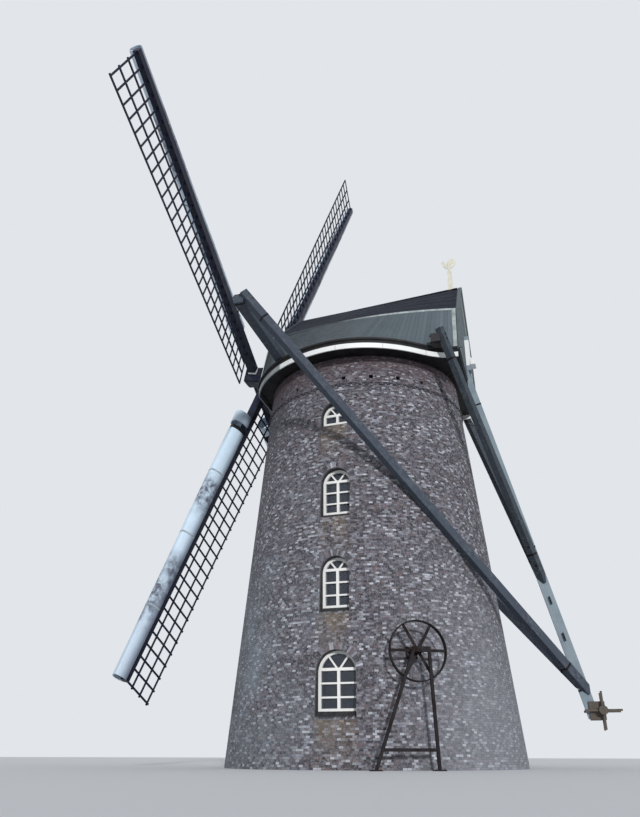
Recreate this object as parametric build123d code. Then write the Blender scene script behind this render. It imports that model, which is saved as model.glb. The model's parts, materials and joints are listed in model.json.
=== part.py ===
from build123d import *
import math
import os

# Tower: a battered round brick wall that gets thinner at each floor
base_radius = 4450
batter = 0.0903
wall_height = 12170
storey_walls = {"ground": 800, "first": 700, "second": 600, "third": 500}
floor_levels = {"ground": 250, "first": 3000, "second": 5750, "third": 8700}
floor_boards = 50
joist_depth = 180
joist_width = 160
joist_count = 5
floor_edge_clearance = 5
wall_parts = {
    "wall_window_side": 0,
    "wall_tail_right": 60,
    "wall_tail_left": 120,
    "wall_door_side": 180,
    "wall_front_left": 240,
    "wall_front_right": 300,
}

# Arched windows, one to a storey, and the door on the opposite side
window_facings = {"ground": -0.2, "first": -1.3, "second": -1.9, "third": -3}
window_widths = {"ground": 1115, "first": 865, "second": 915, "third": 915}
window_sills = {"ground": 1350, "first": 4020, "second": 6790, "third": 9820}
window_heights = {"ground": 1510, "first": 1410, "second": 1400, "third": 700}
sill_fall = 0.5
transom_lift = 90
frame_member = 75
frame_depth = 80
frame_recess = 250
glass_thickness = 12
glass_edge = 12
door_width = 1150
door_height = 2350
door_leaf_thickness = 60

# Rings at the top of the wall
string_drop = 1110
string_height = 95
string_projection = 45
putlog_level = 11375
putlog_size = 130
putlog_depth = 200
putlog_shift = 1.6
putlogs_per_part = 4
curb_height = 100
curb_width = 450
curb_setback = 30
turning_gap = 0.3

# Cap plan: round at the eaves from the front to the shoulder, then nearly straight to the tail
eaves_radius = 4060
eaves_centre = 150
eaves_front = -3600
eaves_shoulder = 3230
eaves_shoulder_at = 2330
eaves_waist = 2640
eaves_waist_at = 3130
eaves_tail_half = 2520
cap_tail = 3750
kink_rise = 2000
kink_front_half = 1800
kink_side = 2290
kink_side_at = 250
kink_tail_half = 1930
ridge_rise = 4177
ridge_front_drop = 302
front_lean = 0.2847
skin_thickness = 55
cap_ring_depth = 120
cap_ring_setback = 20
sheer_depth = 110
sheer_width = 280
sheer_at = 1500
sheer_setback = 240
band_height = 170
band_thickness = 40

# Windshaft, stocks and sails
shaft_tilt = 11.66
hub_reach = 4100
hub_rise = 1504
shaft_radius = 250
neck_radius = 215
tail_radius = 110
shaft_sides = 16
shaft_passage = 60
shaft_tail = 940
poll_size = 640
poll_length = 1250
stock_offset = 305
stock_root = 310
stock_tip = 190
sail_length = 12500
sail_angle = 69.9
bearing_clearance = 0.3
cradle_sides = 12
neck_length = 620
tail_length = 320

# Lattice of each sail, twisted from root to tip
lattice_root = 1250
lattice_width = 1625
root_weather = 12
tip_weather = 1
bar_count = 29
bar_width = 55
bar_thickness = 30
bar_tail = 60
lath_count = 3
lath_width = 60
lath_thickness = 34
lath_notch = 10

# Streamlined nose on the leading side of each stock
nose_root = 1950
nose_reach = 620
nose_bulge = 470
nose_bulge_at = 280
nose_edge_forward = 180
nose_belly = 60
nose_belly_at = 400
nose_sheet = 25
inner_nose_root = 1330
inner_nose_length = 480

# Bearing beams inside the cap
weather_beam_back = 330
weather_beam_width = 380
weather_beam_height = 420
weather_beam_half = 1640
weather_post = 260
tail_beam_width = 320

# Tail frame that turns the cap
long_spreet_at = -2200
long_spreet_half = 6900
short_spreet_at = 3118
short_spreet_half = 3190
spreet_section = 300
spreet_hole_clearance = 15
pole_section = 300
pole_head_at = 3680
pole_head_rise = 680
pole_foot_at = 6375
pole_foot_level = 1300
pole_board_width = 290
pole_board_thickness = 170
pole_board_height = 1110
long_brace_section = 245
long_brace_foot = 2150
long_brace_head = 250
short_brace_section = 210
short_brace_foot = 5330
short_brace_head = 340
brace_setback = 100
brace_notch = 12

# Winch at the foot of the tail pole
winch_level = 1480
winch_drum_radius = 120
winch_drum_length = 900
winch_cheek_height = 480
winch_cheek_depth = 420
winch_cheek_thickness = 70
winch_spoke_length = 1000
winch_spoke_section = 55
winch_spokes_at = 360

# Board under the windshaft
beard_rise = 960
beard_half = 760
beard_depth = 270
beard_board = 45
beard_drop = 330

# Weathercock on a post at the tail end of the ridge
cock_at = 3505
cock_post_width = 190
cock_post_top_width = 150
cock_post_height = 900
rod_radius = 18
rod_height = 340
rod_collar_radius = 42
rod_collar_height = 20
saddle_clearance = 0.3
cock_length = 560
cock_height = 450
cock_lift = 70
cock_thickness = 24
cock_sleeve_radius = 34
cock_sleeve_height = 300
cock_clearance = 0.5

# Belt pulley outside the wall, on a shaft through it
pulley_angle = 27
pulley_level = 2745
pulley_standoff = 4810
pulley_radius = 755
pulley_face = 150
pulley_rim = 28
pulley_hub_radius = 95
pulley_hub_length = 240
pulley_shaft_radius = 40
pulley_shaft_inner = 3560
spoke_count = 6
spoke_width = 70
spoke_thickness = 34
shaft_hole_clearance = 12
stand_at = 5075
stand_thickness = 70
stand_leg_width = 75
splayed_leg_head = 190
splayed_leg_foot = 1250
upright_leg_head = -210
upright_leg_foot = -300
stand_saddle_height = 130
stand_rail_level = 450
wall_bearing_width = 300
wall_bearing_depth = 190

storeys = list(floor_levels)
floor_depth = floor_boards + joist_depth
string_level = wall_height - string_drop
curb_top = wall_height + curb_height
curb_inner = base_radius - batter * wall_height - curb_setback - curb_width
ring_bottom = curb_top + turning_gap
ring_top = ring_bottom + cap_ring_depth
eaves_level = ring_top
sheer_top = ring_top + sheer_depth
kink_level = curb_top + kink_rise
ridge_level = curb_top + ridge_rise
hub_level = curb_top + hub_rise
beard_level = curb_top + beard_rise
pole_head_level = curb_top + pole_head_rise
long_spreet_level = sheer_top + spreet_section / 2
short_spreet_level = ring_top + spreet_section / 2


def outer_radius(level):
    return base_radius - batter * level


def inner_radius(storey, level):
    return outer_radius(level) - storey_walls[storey]


def ledge_level(storey):
    """Top of the masonry ledge that carries a storey's floor; the ground storey has none."""
    return 0 if storey == "ground" else floor_levels[storey] - floor_depth


def beam(start, end, width, depth):
    """A straight timber between two points, width across and depth in the upright plane."""
    start = Vector(*start)
    end = Vector(*end)
    along = end - start
    level_side = Vector(0, 0, 1).cross(along)
    side = level_side if level_side.length > 1 else Vector(1, 0, 0)
    section = Plane(origin=start, x_dir=side, z_dir=along)
    return extrude(section * Rectangle(width, depth), along.length)


def strip(outer, inner):
    """The flat face between two edges that run the same way."""
    return make_face([outer, Line(outer @ 1, inner @ 1), inner, Line(inner @ 0, outer @ 0)]).face()


def arch_prism(width, sill, height, near, far):
    """A round-headed block along X, from one distance from the axis to another."""
    half = width / 2
    springing = sill + height - half
    outline = Polyline((-half, springing), (-half, sill), (half, sill), (half, springing))
    head = ThreePointArc((half, springing), (0, sill + height), (-half, springing))
    face = make_face([outline, head])
    return extrude(Plane(origin=(near, 0, 0), x_dir=(0, 1, 0), z_dir=(1, 0, 0)) * face, far - near)


def wall_profile():
    outline = [(outer_radius(0), 0), (outer_radius(wall_height), wall_height)]
    top = wall_height
    for storey in reversed(storeys):
        ledge = ledge_level(storey)
        outline.append((inner_radius(storey, top), top))
        outline.append((inner_radius(storey, ledge), ledge))
        top = ledge
    return Plane.XZ * make_face(Polyline(*outline, close=True))


def face_window(shape, storey):
    return shape.rotate(Axis.Z, window_facings[storey])


def window_opening(storey):
    """The arched hole through the wall, with a sill that slopes down in front of the frame."""
    width = window_widths[storey]
    sill = window_sills[storey]
    front = frame_face(storey)
    lowest = sill - sill_fall * (base_radius - front)
    slope = Polyline((front, sill), (base_radius, sill), (base_radius, lowest), close=True)
    hole = arch_prism(width, sill, window_heights[storey], 0, base_radius)
    return face_window(hole + extrude(Plane.XZ * make_face(slope), width / 2, both=True), storey)


def door_opening():
    return arch_prism(door_width, floor_levels["ground"], door_height, 0, base_radius)


def opposite(shape):
    return shape.rotate(Axis.Z, 180)


def pulley_axis_plane(distance):
    outward = Vector(1, 0, 0).rotate(Axis.Z, pulley_angle)
    centre = outward * distance + Vector(0, 0, pulley_level)
    return Plane(origin=centre, x_dir=(0, 0, 1), z_dir=outward)


def shaft_hole():
    hole = Circle(pulley_shaft_radius + shaft_hole_clearance)
    return extrude(pulley_axis_plane(0) * hole, base_radius)


def putlog_hole():
    """A square pocket in the wall's face, left by a beam of the scaffold."""
    return Pos(outer_radius(putlog_level), 0, putlog_level) * Box(2 * putlog_depth, putlog_size, putlog_size)


def tower_walls():
    arc = 360 / len(wall_parts)
    walls = {}
    for name, facing in wall_parts.items():
        wall = revolve(wall_profile(), Axis.Z, revolution_arc=arc)
        wall = wall.rotate(Axis.Z, facing - arc / 2)
        for number in range(putlogs_per_part):
            turn = facing - arc / 2 + putlog_shift + arc / putlogs_per_part * number
            wall -= putlog_hole().rotate(Axis.Z, turn)
        if name == "wall_window_side":
            for storey in storeys:
                wall -= window_opening(storey)
            wall -= shaft_hole()
        if name == "wall_door_side":
            wall -= opposite(door_opening())
            for storey in storeys[1:]:
                wall -= opposite(window_opening(storey))
        walls[name] = wall
    return walls


def ground_floor():
    """Paving laid on the earth, filling the foot of the tower."""
    top = floor_levels["ground"]
    outline = Polyline(
        (0, 0), (inner_radius("ground", 0), 0), (inner_radius("ground", top), top), (0, top), close=True)
    return revolve(Plane.XZ * make_face(outline), Axis.Z)


def tower_floor(storey):
    top = floor_levels[storey]
    radius = inner_radius(storey, top) - floor_edge_clearance
    boards = Pos(0, 0, top - floor_boards) * extrude(Circle(radius), floor_boards)
    spacing = 2 * radius / (joist_count + 1)
    joists = Pos(0, 0, ledge_level(storey)) * extrude(
        Sketch() + [Pos(0, (number - (joist_count - 1) / 2) * spacing) * Rectangle(2 * radius, joist_width)
                    for number in range(joist_count)] & Circle(radius), joist_depth)
    return boards + joists


def frame_face(storey):
    apex = window_sills[storey] + window_heights[storey]
    return outer_radius(apex) - frame_recess


def window_frame(storey):
    width = window_widths[storey]
    sill = window_sills[storey]
    height = window_heights[storey]
    front = frame_face(storey)
    back = front - frame_depth
    transom = sill + height - width / 2 + transom_lift
    frame = arch_prism(width, sill, height, back, front)
    frame -= arch_prism(width - 2 * frame_member, sill + frame_member, height - 2 * frame_member, back, front)
    inside = width - frame_member
    middle = (back + front) / 2
    frame += Pos(middle, 0, transom) * Box(frame_depth, inside, frame_member)
    mullion = transom - sill
    frame += Pos(middle, 0, sill + mullion / 2) * Box(frame_depth, frame_member, mullion)
    return face_window(frame, storey)


def window_glass(storey):
    width = window_widths[storey] - 2 * glass_edge
    height = window_heights[storey] - 2 * glass_edge
    back = frame_face(storey) - frame_depth
    sill = window_sills[storey] + glass_edge
    return face_window(arch_prism(width, sill, height, back - glass_thickness, back), storey)


def door_frame():
    sill = floor_levels["ground"]
    front = outer_radius(sill + door_height) - frame_recess
    back = front - frame_depth
    frame = arch_prism(door_width, sill, door_height, back, front)
    opening = arch_prism(door_width - 2 * frame_member, sill, door_height - frame_member, back, front)
    return opposite(frame - opening)


def door_leaf():
    sill = floor_levels["ground"]
    front = outer_radius(sill + door_height) - frame_recess - frame_depth
    width = door_width - 2 * glass_edge
    return opposite(arch_prism(width, sill, door_height - glass_edge, front - door_leaf_thickness, front))


def string_course():
    top = string_level + string_height
    outline = Polyline(
        (outer_radius(string_level), string_level),
        (outer_radius(string_level) + string_projection, string_level),
        (outer_radius(top) + string_projection, top),
        (outer_radius(top), top), close=True)
    return revolve(Plane.XZ * make_face(outline), Axis.Z)


def curb():
    outer = outer_radius(wall_height) - curb_setback
    ring = Circle(outer) - Circle(outer - curb_width)
    return Pos(0, 0, wall_height) * extrude(ring, curb_height)


def eaves_points(inset):
    """Plan of one side of the cap from front to tail, set in evenly from the skin."""
    radius = eaves_radius - inset
    front_turn = math.asin((eaves_front + inset - eaves_centre) / radius)
    points = []
    for share in (1, 0.75, 0.5, 0.25, 0):
        turn = front_turn * share
        points.append((radius * math.cos(turn), eaves_centre + radius * math.sin(turn)))
    for across, at in ((eaves_shoulder, eaves_shoulder_at), (eaves_waist, eaves_waist_at)):
        inward = inset / math.hypot(across, at - eaves_centre)
        points.append((across * (1 - inward), at - (at - eaves_centre) * inward))
    points.append((eaves_tail_half - inset, cap_tail - inset))
    return points


def eaves_line(shift=0):
    return Spline(*[(x - shift, y) for x, y in eaves_points(0)])


def kink_arc(inset=0):
    front = eaves_front + (kink_level - eaves_level) * front_lean
    return ThreePointArc(
        (kink_front_half - inset, front), (kink_side - inset, kink_side_at), (kink_tail_half - inset, cap_tail))


def cap_plan(inset):
    """The eaves outline of the whole cap, set in from the skin by an even distance."""
    points = eaves_points(inset)
    right = Spline(*points)
    left = Spline(*[(-x, y) for x, y in reversed(points)])
    return make_face([right, Line(right @ 1, left @ 0), left, Line(left @ 1, right @ 0)])


def cap_ring():
    """The timber ring that turns on the curb and carries the walls of the cap."""
    plan = cap_plan(cap_ring_setback)
    return Pos(0, 0, ring_bottom) * extrude(plan - Circle(curb_inner), cap_ring_depth)


def sheer():
    """One long beam on the ring, from front to tail, that ends against the short spreet."""
    end = short_spreet_at - spreet_section / 2
    strip_plan = Pos(sheer_at, end - eaves_radius) * Rectangle(sheer_width, 2 * eaves_radius)
    return Pos(0, 0, ring_top) * extrude(cap_plan(sheer_setback) & strip_plan, sheer_depth)


def eaves_band():
    """White boards under the edge of the ring, left off below the tail gable."""
    band = cap_plan(0) - cap_plan(band_thickness)
    band -= Pos(0, cap_tail) * Rectangle(2 * (eaves_tail_half - band_thickness), 2 * band_thickness)
    return Pos(0, 0, ring_bottom - band_height) * extrude(band, band_height)


def both_sides(right):
    return {"left": mirror(right, Plane.YZ), "right": right}


def ridge_line():
    front_top = ridge_level - ridge_front_drop
    front = eaves_front + (front_top - eaves_level) * front_lean
    return Line((0, front, front_top), (0, cap_tail, ridge_level))


def eaves_strip():
    return Pos(0, 0, eaves_level) * strip(eaves_line(), eaves_line(skin_thickness))


def kink_strip():
    return Pos(0, 0, kink_level) * strip(kink_arc(), kink_arc(skin_thickness))


def cap_wall():
    return loft([eaves_strip(), kink_strip()], ruled=True)


def roof_slope():
    board = loft([kink_strip(), strip(ridge_line(), Pos(-skin_thickness, 0, 0) * ridge_line())], ruled=True)
    return split(board, Plane.YZ, keep=Keep.TOP)


def gable(outline, plane):
    return extrude(plane * make_face(Polyline(*outline, close=True)), skin_thickness)


def tail_gable():
    outline = []
    for half, level in ((eaves_tail_half, eaves_level), (kink_tail_half, kink_level), (0, ridge_level)):
        outline.append((half, level))
    outline += [(-half, level) for half, level in reversed(outline[:-1])]
    return gable(outline, Plane(origin=(0, cap_tail, 0), x_dir=(-1, 0, 0), z_dir=(0, 1, 0)))


def front_panel():
    slant = math.hypot(1, front_lean)
    outline = []
    ridge_front = ridge_level - ridge_front_drop
    front_half = (eaves_line() @ 0).X
    for half, level in ((front_half, eaves_level), (kink_front_half, kink_level), (0, ridge_front)):
        outline.append((half, (level - eaves_level) * slant))
    outline += [(-half, rise) for half, rise in reversed(outline[:-1])]
    leaning = Plane(
        origin=(0, eaves_front, eaves_level), x_dir=(1, 0, 0), z_dir=(0, -1, front_lean))
    return gable(outline, leaning)


def shaft_plane(distance):
    """A plane square to the windshaft, at a distance in front of the stocks' middle."""
    tilt = math.radians(shaft_tilt)
    ahead = Vector(0, -math.cos(tilt), math.sin(tilt))
    centre = Vector(0, -hub_reach, hub_level) + ahead * distance
    return Plane(origin=centre, x_dir=(1, 0, 0), z_dir=ahead)


def shaft_level(at):
    return hub_level - (at + hub_reach) * math.tan(math.radians(shaft_tilt))


def along_shaft(at):
    return -(at + hub_reach) / math.cos(math.radians(shaft_tilt))


neck_at = eaves_front + (hub_level - eaves_level) * front_lean + weather_beam_back
neck_middle = along_shaft(neck_at)
tail_middle = along_shaft(shaft_tail)


def round_bar(radius, start, end):
    """A round length of the windshaft, between two distances in front of the stocks' middle."""
    return extrude(shaft_plane(start) * Circle(radius), end - start)


def windshaft():
    neck_front = neck_middle + neck_length / 2
    neck_back = neck_middle - neck_length / 2
    timber = extrude(
        shaft_plane(tail_middle + tail_length / 2) * RegularPolygon(shaft_radius, shaft_sides),
        neck_back - tail_middle - tail_length / 2)
    neck = round_bar(neck_radius, neck_back, neck_front)
    front = round_bar(shaft_radius, neck_front, -poll_length / 2)
    tail = round_bar(tail_radius, tail_middle - tail_length, tail_middle + tail_length / 2)
    poll = extrude(shaft_plane(-poll_length / 2) * RectangleRounded(poll_size, poll_size, poll_size / 8),
                   poll_length)
    shaft = timber + neck + front + tail + poll
    for number in range(2):
        mortise = sail_plane(number) * Pos(0, 0, -poll_size)
        shaft -= mortise * extrude(Rectangle(stock_root, stock_root), 2 * poll_size)
    return shaft


def sail_plane(number):
    """Origin on the windshaft, +Z out along a sail's stock, +Y forward along the shaft."""
    ahead = shaft_plane(0).z_dir
    turn = math.radians(sail_angle + 90 * number)
    across = shaft_plane(0).x_dir
    upward = ahead.cross(across)
    outward = upward * math.cos(turn) + across * math.sin(turn)
    step = stock_offset if number % 2 == 0 else -stock_offset
    return Plane(origin=shaft_plane(step).origin, x_dir=ahead.cross(outward), z_dir=outward).location


def stock_half(reach):
    share = max(0, reach - poll_size / 2) / (sail_length - poll_size / 2)
    return (stock_root + (stock_tip - stock_root) * share) / 2


def stock_arm():
    """One tapering half of a stock, from the poll outwards."""
    root = Pos(0, 0, poll_size / 2) * Rectangle(stock_root, stock_root)
    tip = Pos(0, 0, sail_length) * Rectangle(stock_tip, stock_tip)
    return loft([root.face(), tip.face()])


def stock(number):
    middle = Pos(0, 0, -poll_size / 2) * extrude(Rectangle(stock_root, stock_root), poll_size)
    return sail_plane(number) * (stock_arm() + middle + stock_arm().rotate(Axis.X, 180))


def weather_height(reach):
    """How far behind the stock the outer lath lies, growing from the tip to the root."""
    root = lattice_width * math.tan(math.radians(root_weather))
    tip = lattice_width * math.tan(math.radians(tip_weather))
    share = (reach - lattice_root) / (sail_length - lattice_root)
    return root + (tip - root) * share


def lattice():
    """One sail's lattice beside its stock: crossbars that turn along the sail, tied by laths."""
    first = lattice_root + bar_width
    last = sail_length - bar_width
    pitch = (last - first) / (bar_count - 1)
    frame = Part()
    for number in range(bar_count):
        reach = first + number * pitch
        slope = math.degrees(math.atan2(weather_height(reach), lattice_width))
        start = stock_half(reach)
        length = (lattice_width + bar_tail) / math.cos(math.radians(slope)) - start
        bar = Pos(-start - length / 2, 0, 0) * Box(length, bar_thickness, bar_width)
        frame += Pos(0, 0, reach) * bar.rotate(Axis.Z, slope)
    for number in range(1, lath_count + 1):
        share = number / lath_count
        ends = []
        for reach in (lattice_root, sail_length):
            ends.append((-lattice_width * share, -weather_height(reach) * share, reach))
        lift = (bar_thickness + lath_thickness) / 2 - lath_notch
        frame += Pos(0, lift, 0) * beam(ends[0], ends[1], lath_width, lath_thickness)
    return frame - stock_arm()


def nose_section(reach):
    """The bent sheet from the stock's front face, round the leading edge, to its back corner."""
    half = stock_half(reach)
    scale = half / stock_half(nose_root)
    edge = Vector(nose_reach, nose_edge_forward) * scale
    bulge = Vector(nose_bulge_at, nose_bulge) * scale
    belly = Vector(nose_belly_at, -nose_belly) * scale
    over = ThreePointArc((-half, half), bulge, edge)
    under = ThreePointArc(edge, belly, (half, -half))
    inner_edge = edge - Vector(2 * nose_sheet, 0)
    inner_under = ThreePointArc((half, nose_sheet - half), belly + Vector(0, nose_sheet), inner_edge)
    inner_over = ThreePointArc(inner_edge, bulge - Vector(0, nose_sheet), (2 * nose_sheet - half, half))
    foot = Line(under @ 1, inner_under @ 0)
    lap = Line(inner_over @ 1, over @ 0)
    return Pos(0, 0, reach) * make_face([over, under, foot, inner_under, inner_over, lap]).face()


def nose():
    board = loft([nose_section(nose_root), nose_section(sail_length)], ruled=True)
    inner_end = inner_nose_root + inner_nose_length
    short = loft([nose_section(inner_nose_root), nose_section(inner_end)], ruled=True)
    return Compound([board, short])


def weather_beam():
    low = shaft_level(neck_at) - weather_beam_height
    high = shaft_level(neck_at)
    beam_block = Pos(0, neck_at, (low + high) / 2) * Box(
        2 * weather_beam_half, weather_beam_width, high - low)
    for side in (-1, 1):
        post = sheer_at * side
        beam_block += Pos(post, neck_at, (sheer_top + low) / 2) * Box(
            weather_post, weather_post, low - sheer_top)
    return beam_block - bearing_hole(neck_middle, neck_radius, weather_beam_width)


def bearing_hole(middle, radius, width):
    """A many-sided cradle, open upwards, whose flats lie just clear of the journal."""
    flats = RegularPolygon(radius + bearing_clearance, cradle_sides, major_radius=False)
    mouth = Pos(0, radius) * Rectangle(2 * (radius + bearing_clearance), 2 * radius)
    return extrude(shaft_plane(middle - width) * (flats + mouth), 2 * width)


def tail_beam():
    high = shaft_level(shaft_tail)
    low = sheer_top
    half = sheer_at + sheer_width / 2
    block = Pos(0, shaft_tail, (low + high) / 2) * Box(2 * half, tail_beam_width, high - low)
    return block - bearing_hole(tail_middle, tail_radius, tail_beam_width)


def spreet(at, half, level):
    return Pos(0, at, level) * Box(2 * half, spreet_section, spreet_section)


def spreet_hole(at, level):
    size = spreet_section + 2 * spreet_hole_clearance
    return Pos(0, at, level) * Box(4 * eaves_radius, size, size)


def pole_centre(level):
    share = (pole_head_level - level) / (pole_head_level - pole_foot_level)
    return pole_head_at + (pole_foot_at - pole_head_at) * share


def tail_pole():
    """The sloping pole, cut off at the gable, with an upright board above it."""
    pole = beam((0, pole_head_at, pole_head_level), (0, pole_foot_at, pole_foot_level),
                pole_section, pole_section)
    face = cap_tail + skin_thickness
    board = Pos(0, face + pole_board_thickness / 2, pole_head_level + pole_board_height / 2) * Box(
        pole_board_width, pole_board_thickness, pole_board_height + pole_section)
    inside = Pos(0, face - eaves_radius, pole_head_level) * Box(
        2 * pole_section, 2 * eaves_radius, 2 * eaves_radius)
    return pole - inside + board


def brace(spreet_at, spreet_half, spreet_level, section, foot_level, head_length):
    """From a notch in a spreet's tail face, with its head above, down to the side of the pole."""
    behind = spreet_at + (spreet_section + section) / 2 - brace_notch
    notch = Vector(spreet_half - brace_setback, behind, spreet_level)
    foot = Vector(pole_section / 2, pole_centre(foot_level), foot_level)
    slope = (foot - notch).normalized()
    timber = beam(notch - slope * head_length, foot + slope * section, section, section)
    beside_pole = Pos(pole_section / 2 - spreet_half, 0, foot_level) * Box(
        2 * spreet_half, 4 * pole_foot_at, 2 * spreet_level)
    return timber - spreet(spreet_at, spreet_half, spreet_level) - beside_pole


def long_brace():
    return brace(long_spreet_at, long_spreet_half, long_spreet_level,
                 long_brace_section, long_brace_foot, long_brace_head)


def short_brace():
    return brace(short_spreet_at, short_spreet_half, short_spreet_level,
                 short_brace_section, short_brace_foot, short_brace_head)


def winch():
    centre = pole_centre(winch_level)
    side = pole_section / 2 + winch_cheek_thickness / 2
    drum = Pos(0, centre + pole_section, winch_level) * Rot(0, 90, 0) * Cylinder(
        winch_drum_radius, winch_drum_length)
    frame = drum
    for turn in (-1, 1):
        frame += Pos(turn * side, centre + pole_section / 2, winch_level) * Box(
            winch_cheek_thickness, winch_cheek_depth, winch_cheek_height)
        spokes = Pos(turn * winch_spokes_at, centre + pole_section, winch_level)
        frame += spokes * Box(winch_spoke_section, winch_spoke_section, winch_spoke_length)
        frame += spokes * Box(winch_spoke_section, winch_spoke_length, winch_spoke_section)
    return frame - tail_pole()


def beard():
    front = eaves_front + (beard_level - eaves_level) * front_lean - skin_thickness
    outline = Polyline(
        (front + beard_depth, beard_level), (front - beard_depth, beard_level),
        (front - beard_depth, beard_level - beard_board), (front + beard_depth, beard_level - beard_drop),
        close=True)
    block = extrude(Plane.YZ * make_face(outline), beard_half, both=True)
    behind = Plane(origin=(0, eaves_front, eaves_level), x_dir=(1, 0, 0), z_dir=(0, -1, front_lean))
    cut = behind * Pos(0, 0, skin_thickness - eaves_radius) * Box(
        4 * eaves_radius, 4 * eaves_radius, 2 * eaves_radius)
    return block - cut


def post_foot():
    """Height of the ridge where the weathercock's post stands."""
    line = ridge_line()
    share = (cock_at - (line @ 0).Y) / ((line @ 1).Y - (line @ 0).Y)
    return (line @ 0).Z + ((line @ 1).Z - (line @ 0).Z) * share


def cock_post():
    """A tapering post that straddles the ridge, with the iron rod and its collar on top."""
    foot = post_foot()
    base = Pos(0, cock_at, foot - cock_post_width / 2) * Rectangle(cock_post_width, cock_post_width)
    top = Pos(0, cock_at, foot + cock_post_height) * Rectangle(cock_post_top_width, cock_post_top_width)
    post = loft([base.face(), top.face()])
    rise = kink_level - foot
    roof = Plane(origin=(0, cock_at, foot + saddle_clearance), x_dir=(1, 0, 0), z_dir=ridge_line() % 0)
    slope = Polyline((0, 0), (-kink_side, -rise), (kink_side, -rise), close=True)
    post -= extrude(roof * make_face(slope), cock_post_width, both=True)
    collar = Circle(rod_collar_radius)
    rod = extrude(collar, rod_collar_height) + extrude(Circle(rod_radius), rod_height)
    return post + Pos(0, cock_at, foot + cock_post_height) * rod


def cock_outline():
    """Side view of the bird, tail to the right: plume, head with its beak, breast and tail."""
    half = cock_length / 2
    tail_tip = (half * 0.97, cock_height * 0.78)
    saddle = (-half * 0.2, cock_height * 0.5)
    nape = (-half * 0.45, cock_height * 0.6)
    crown = (-half * 0.62, cock_height * 0.97)
    beak = (-half, cock_height * 0.8)
    throat = (-half * 0.84, cock_height * 0.62)
    plume = ThreePointArc(tail_tip, (half * 0.45, cock_height), saddle)
    head = Polyline(saddle, nape, crown, beak, throat)
    breast = ThreePointArc(throat, (-half * 0.62, cock_height * 0.2), (0, 0))
    tail = ThreePointArc((0, 0), (half * 0.82, cock_height * 0.3), tail_tip)
    return make_face([plume, head, breast, tail])


def weathercock():
    sleeve_foot = post_foot() + cock_post_height + rod_collar_height + turning_gap
    bird = extrude(Plane.YZ * cock_outline(), cock_thickness / 2, both=True)
    sleeve = extrude(Circle(cock_sleeve_radius), cock_sleeve_height)
    bore_depth = rod_height - rod_collar_height + cock_clearance
    bore = extrude(Circle(rod_radius + cock_clearance), bore_depth)
    cap = Pos(0, 0, cock_sleeve_height) * extrude(
        Circle(cock_sleeve_radius), bore_depth - cock_sleeve_height + rod_collar_height)
    return Pos(0, cock_at, sleeve_foot) * (Pos(0, 0, cock_lift) * bird + sleeve + cap - bore)


def pulley():
    """Belt wheel: flat rim, flat spokes and hub, on the shaft that runs in through the wall."""
    face = pulley_axis_plane(pulley_standoff)
    rim = extrude(Circle(pulley_radius) - Circle(pulley_radius - pulley_rim), pulley_face / 2, both=True)
    hub = extrude(Circle(pulley_hub_radius), pulley_hub_length / 2, both=True)
    wheel = rim + hub
    length = pulley_radius - pulley_rim / 2
    for number in range(spoke_count):
        spoke = Pos(length / 2, 0, 0) * Box(length, spoke_width, spoke_thickness)
        wheel += spoke.rotate(Axis.Z, 360 / spoke_count * (number + 0.5))
    end = stand_at + stand_thickness
    shaft = extrude(pulley_axis_plane(pulley_shaft_inner) * Circle(pulley_shaft_radius),
                    end - pulley_shaft_inner)
    return face.location * wheel + shaft


def leg_place(head, foot, level):
    """Where a leg of the stand is beside the shaft, towards the sails, at one level."""
    return head + (foot - head) * (pulley_level - level) / pulley_level


def stand_leg(head, foot):
    line = Vector(-pulley_level, foot - head)
    turn = math.degrees(math.atan2(line.Y, line.X))
    leg = Pos(line.length / 2, 0, 0) * Box(line.length + stand_leg_width, stand_leg_width, stand_thickness)
    return Pos(0, head, 0) * Rot(0, 0, turn) * leg


def crossbar(level, height):
    """A level bar of the stand, across both legs."""
    near = leg_place(upright_leg_head, upright_leg_foot, level) - stand_leg_width / 2
    far = leg_place(splayed_leg_head, splayed_leg_foot, level) + stand_leg_width / 2
    return Pos(level - pulley_level, (near + far) / 2, 0) * Box(height, far - near, stand_thickness)


def pulley_stand():
    """Iron trestle in front of the wheel: a splayed and an upright leg, a rail and a saddle."""
    stand = stand_leg(splayed_leg_head, splayed_leg_foot) + stand_leg(upright_leg_head, upright_leg_foot)
    stand += crossbar(pulley_level, stand_saddle_height) + crossbar(stand_rail_level, stand_leg_width)
    stand -= extrude(pulley_cradle(), stand_thickness, both=True)
    ground = Pos(-2 * pulley_level, 0, 0) * Box(2 * pulley_level, 4 * splayed_leg_foot, 4 * stand_thickness)
    return pulley_axis_plane(stand_at).location * (stand - ground)


def pulley_cradle():
    return RegularPolygon(pulley_shaft_radius + bearing_clearance, cradle_sides, major_radius=False)


def wall_bearing():
    """Iron box on the wall face that carries the inner end of the pulley shaft."""
    near = outer_radius(pulley_level)
    plate = Box(wall_bearing_width, wall_bearing_width, wall_bearing_depth)
    box = pulley_axis_plane(near).location * plate
    box -= extrude(pulley_axis_plane(0) * pulley_cradle(), 2 * near)
    tower = revolve(wall_profile(), Axis.Z)
    return box - tower


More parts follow.
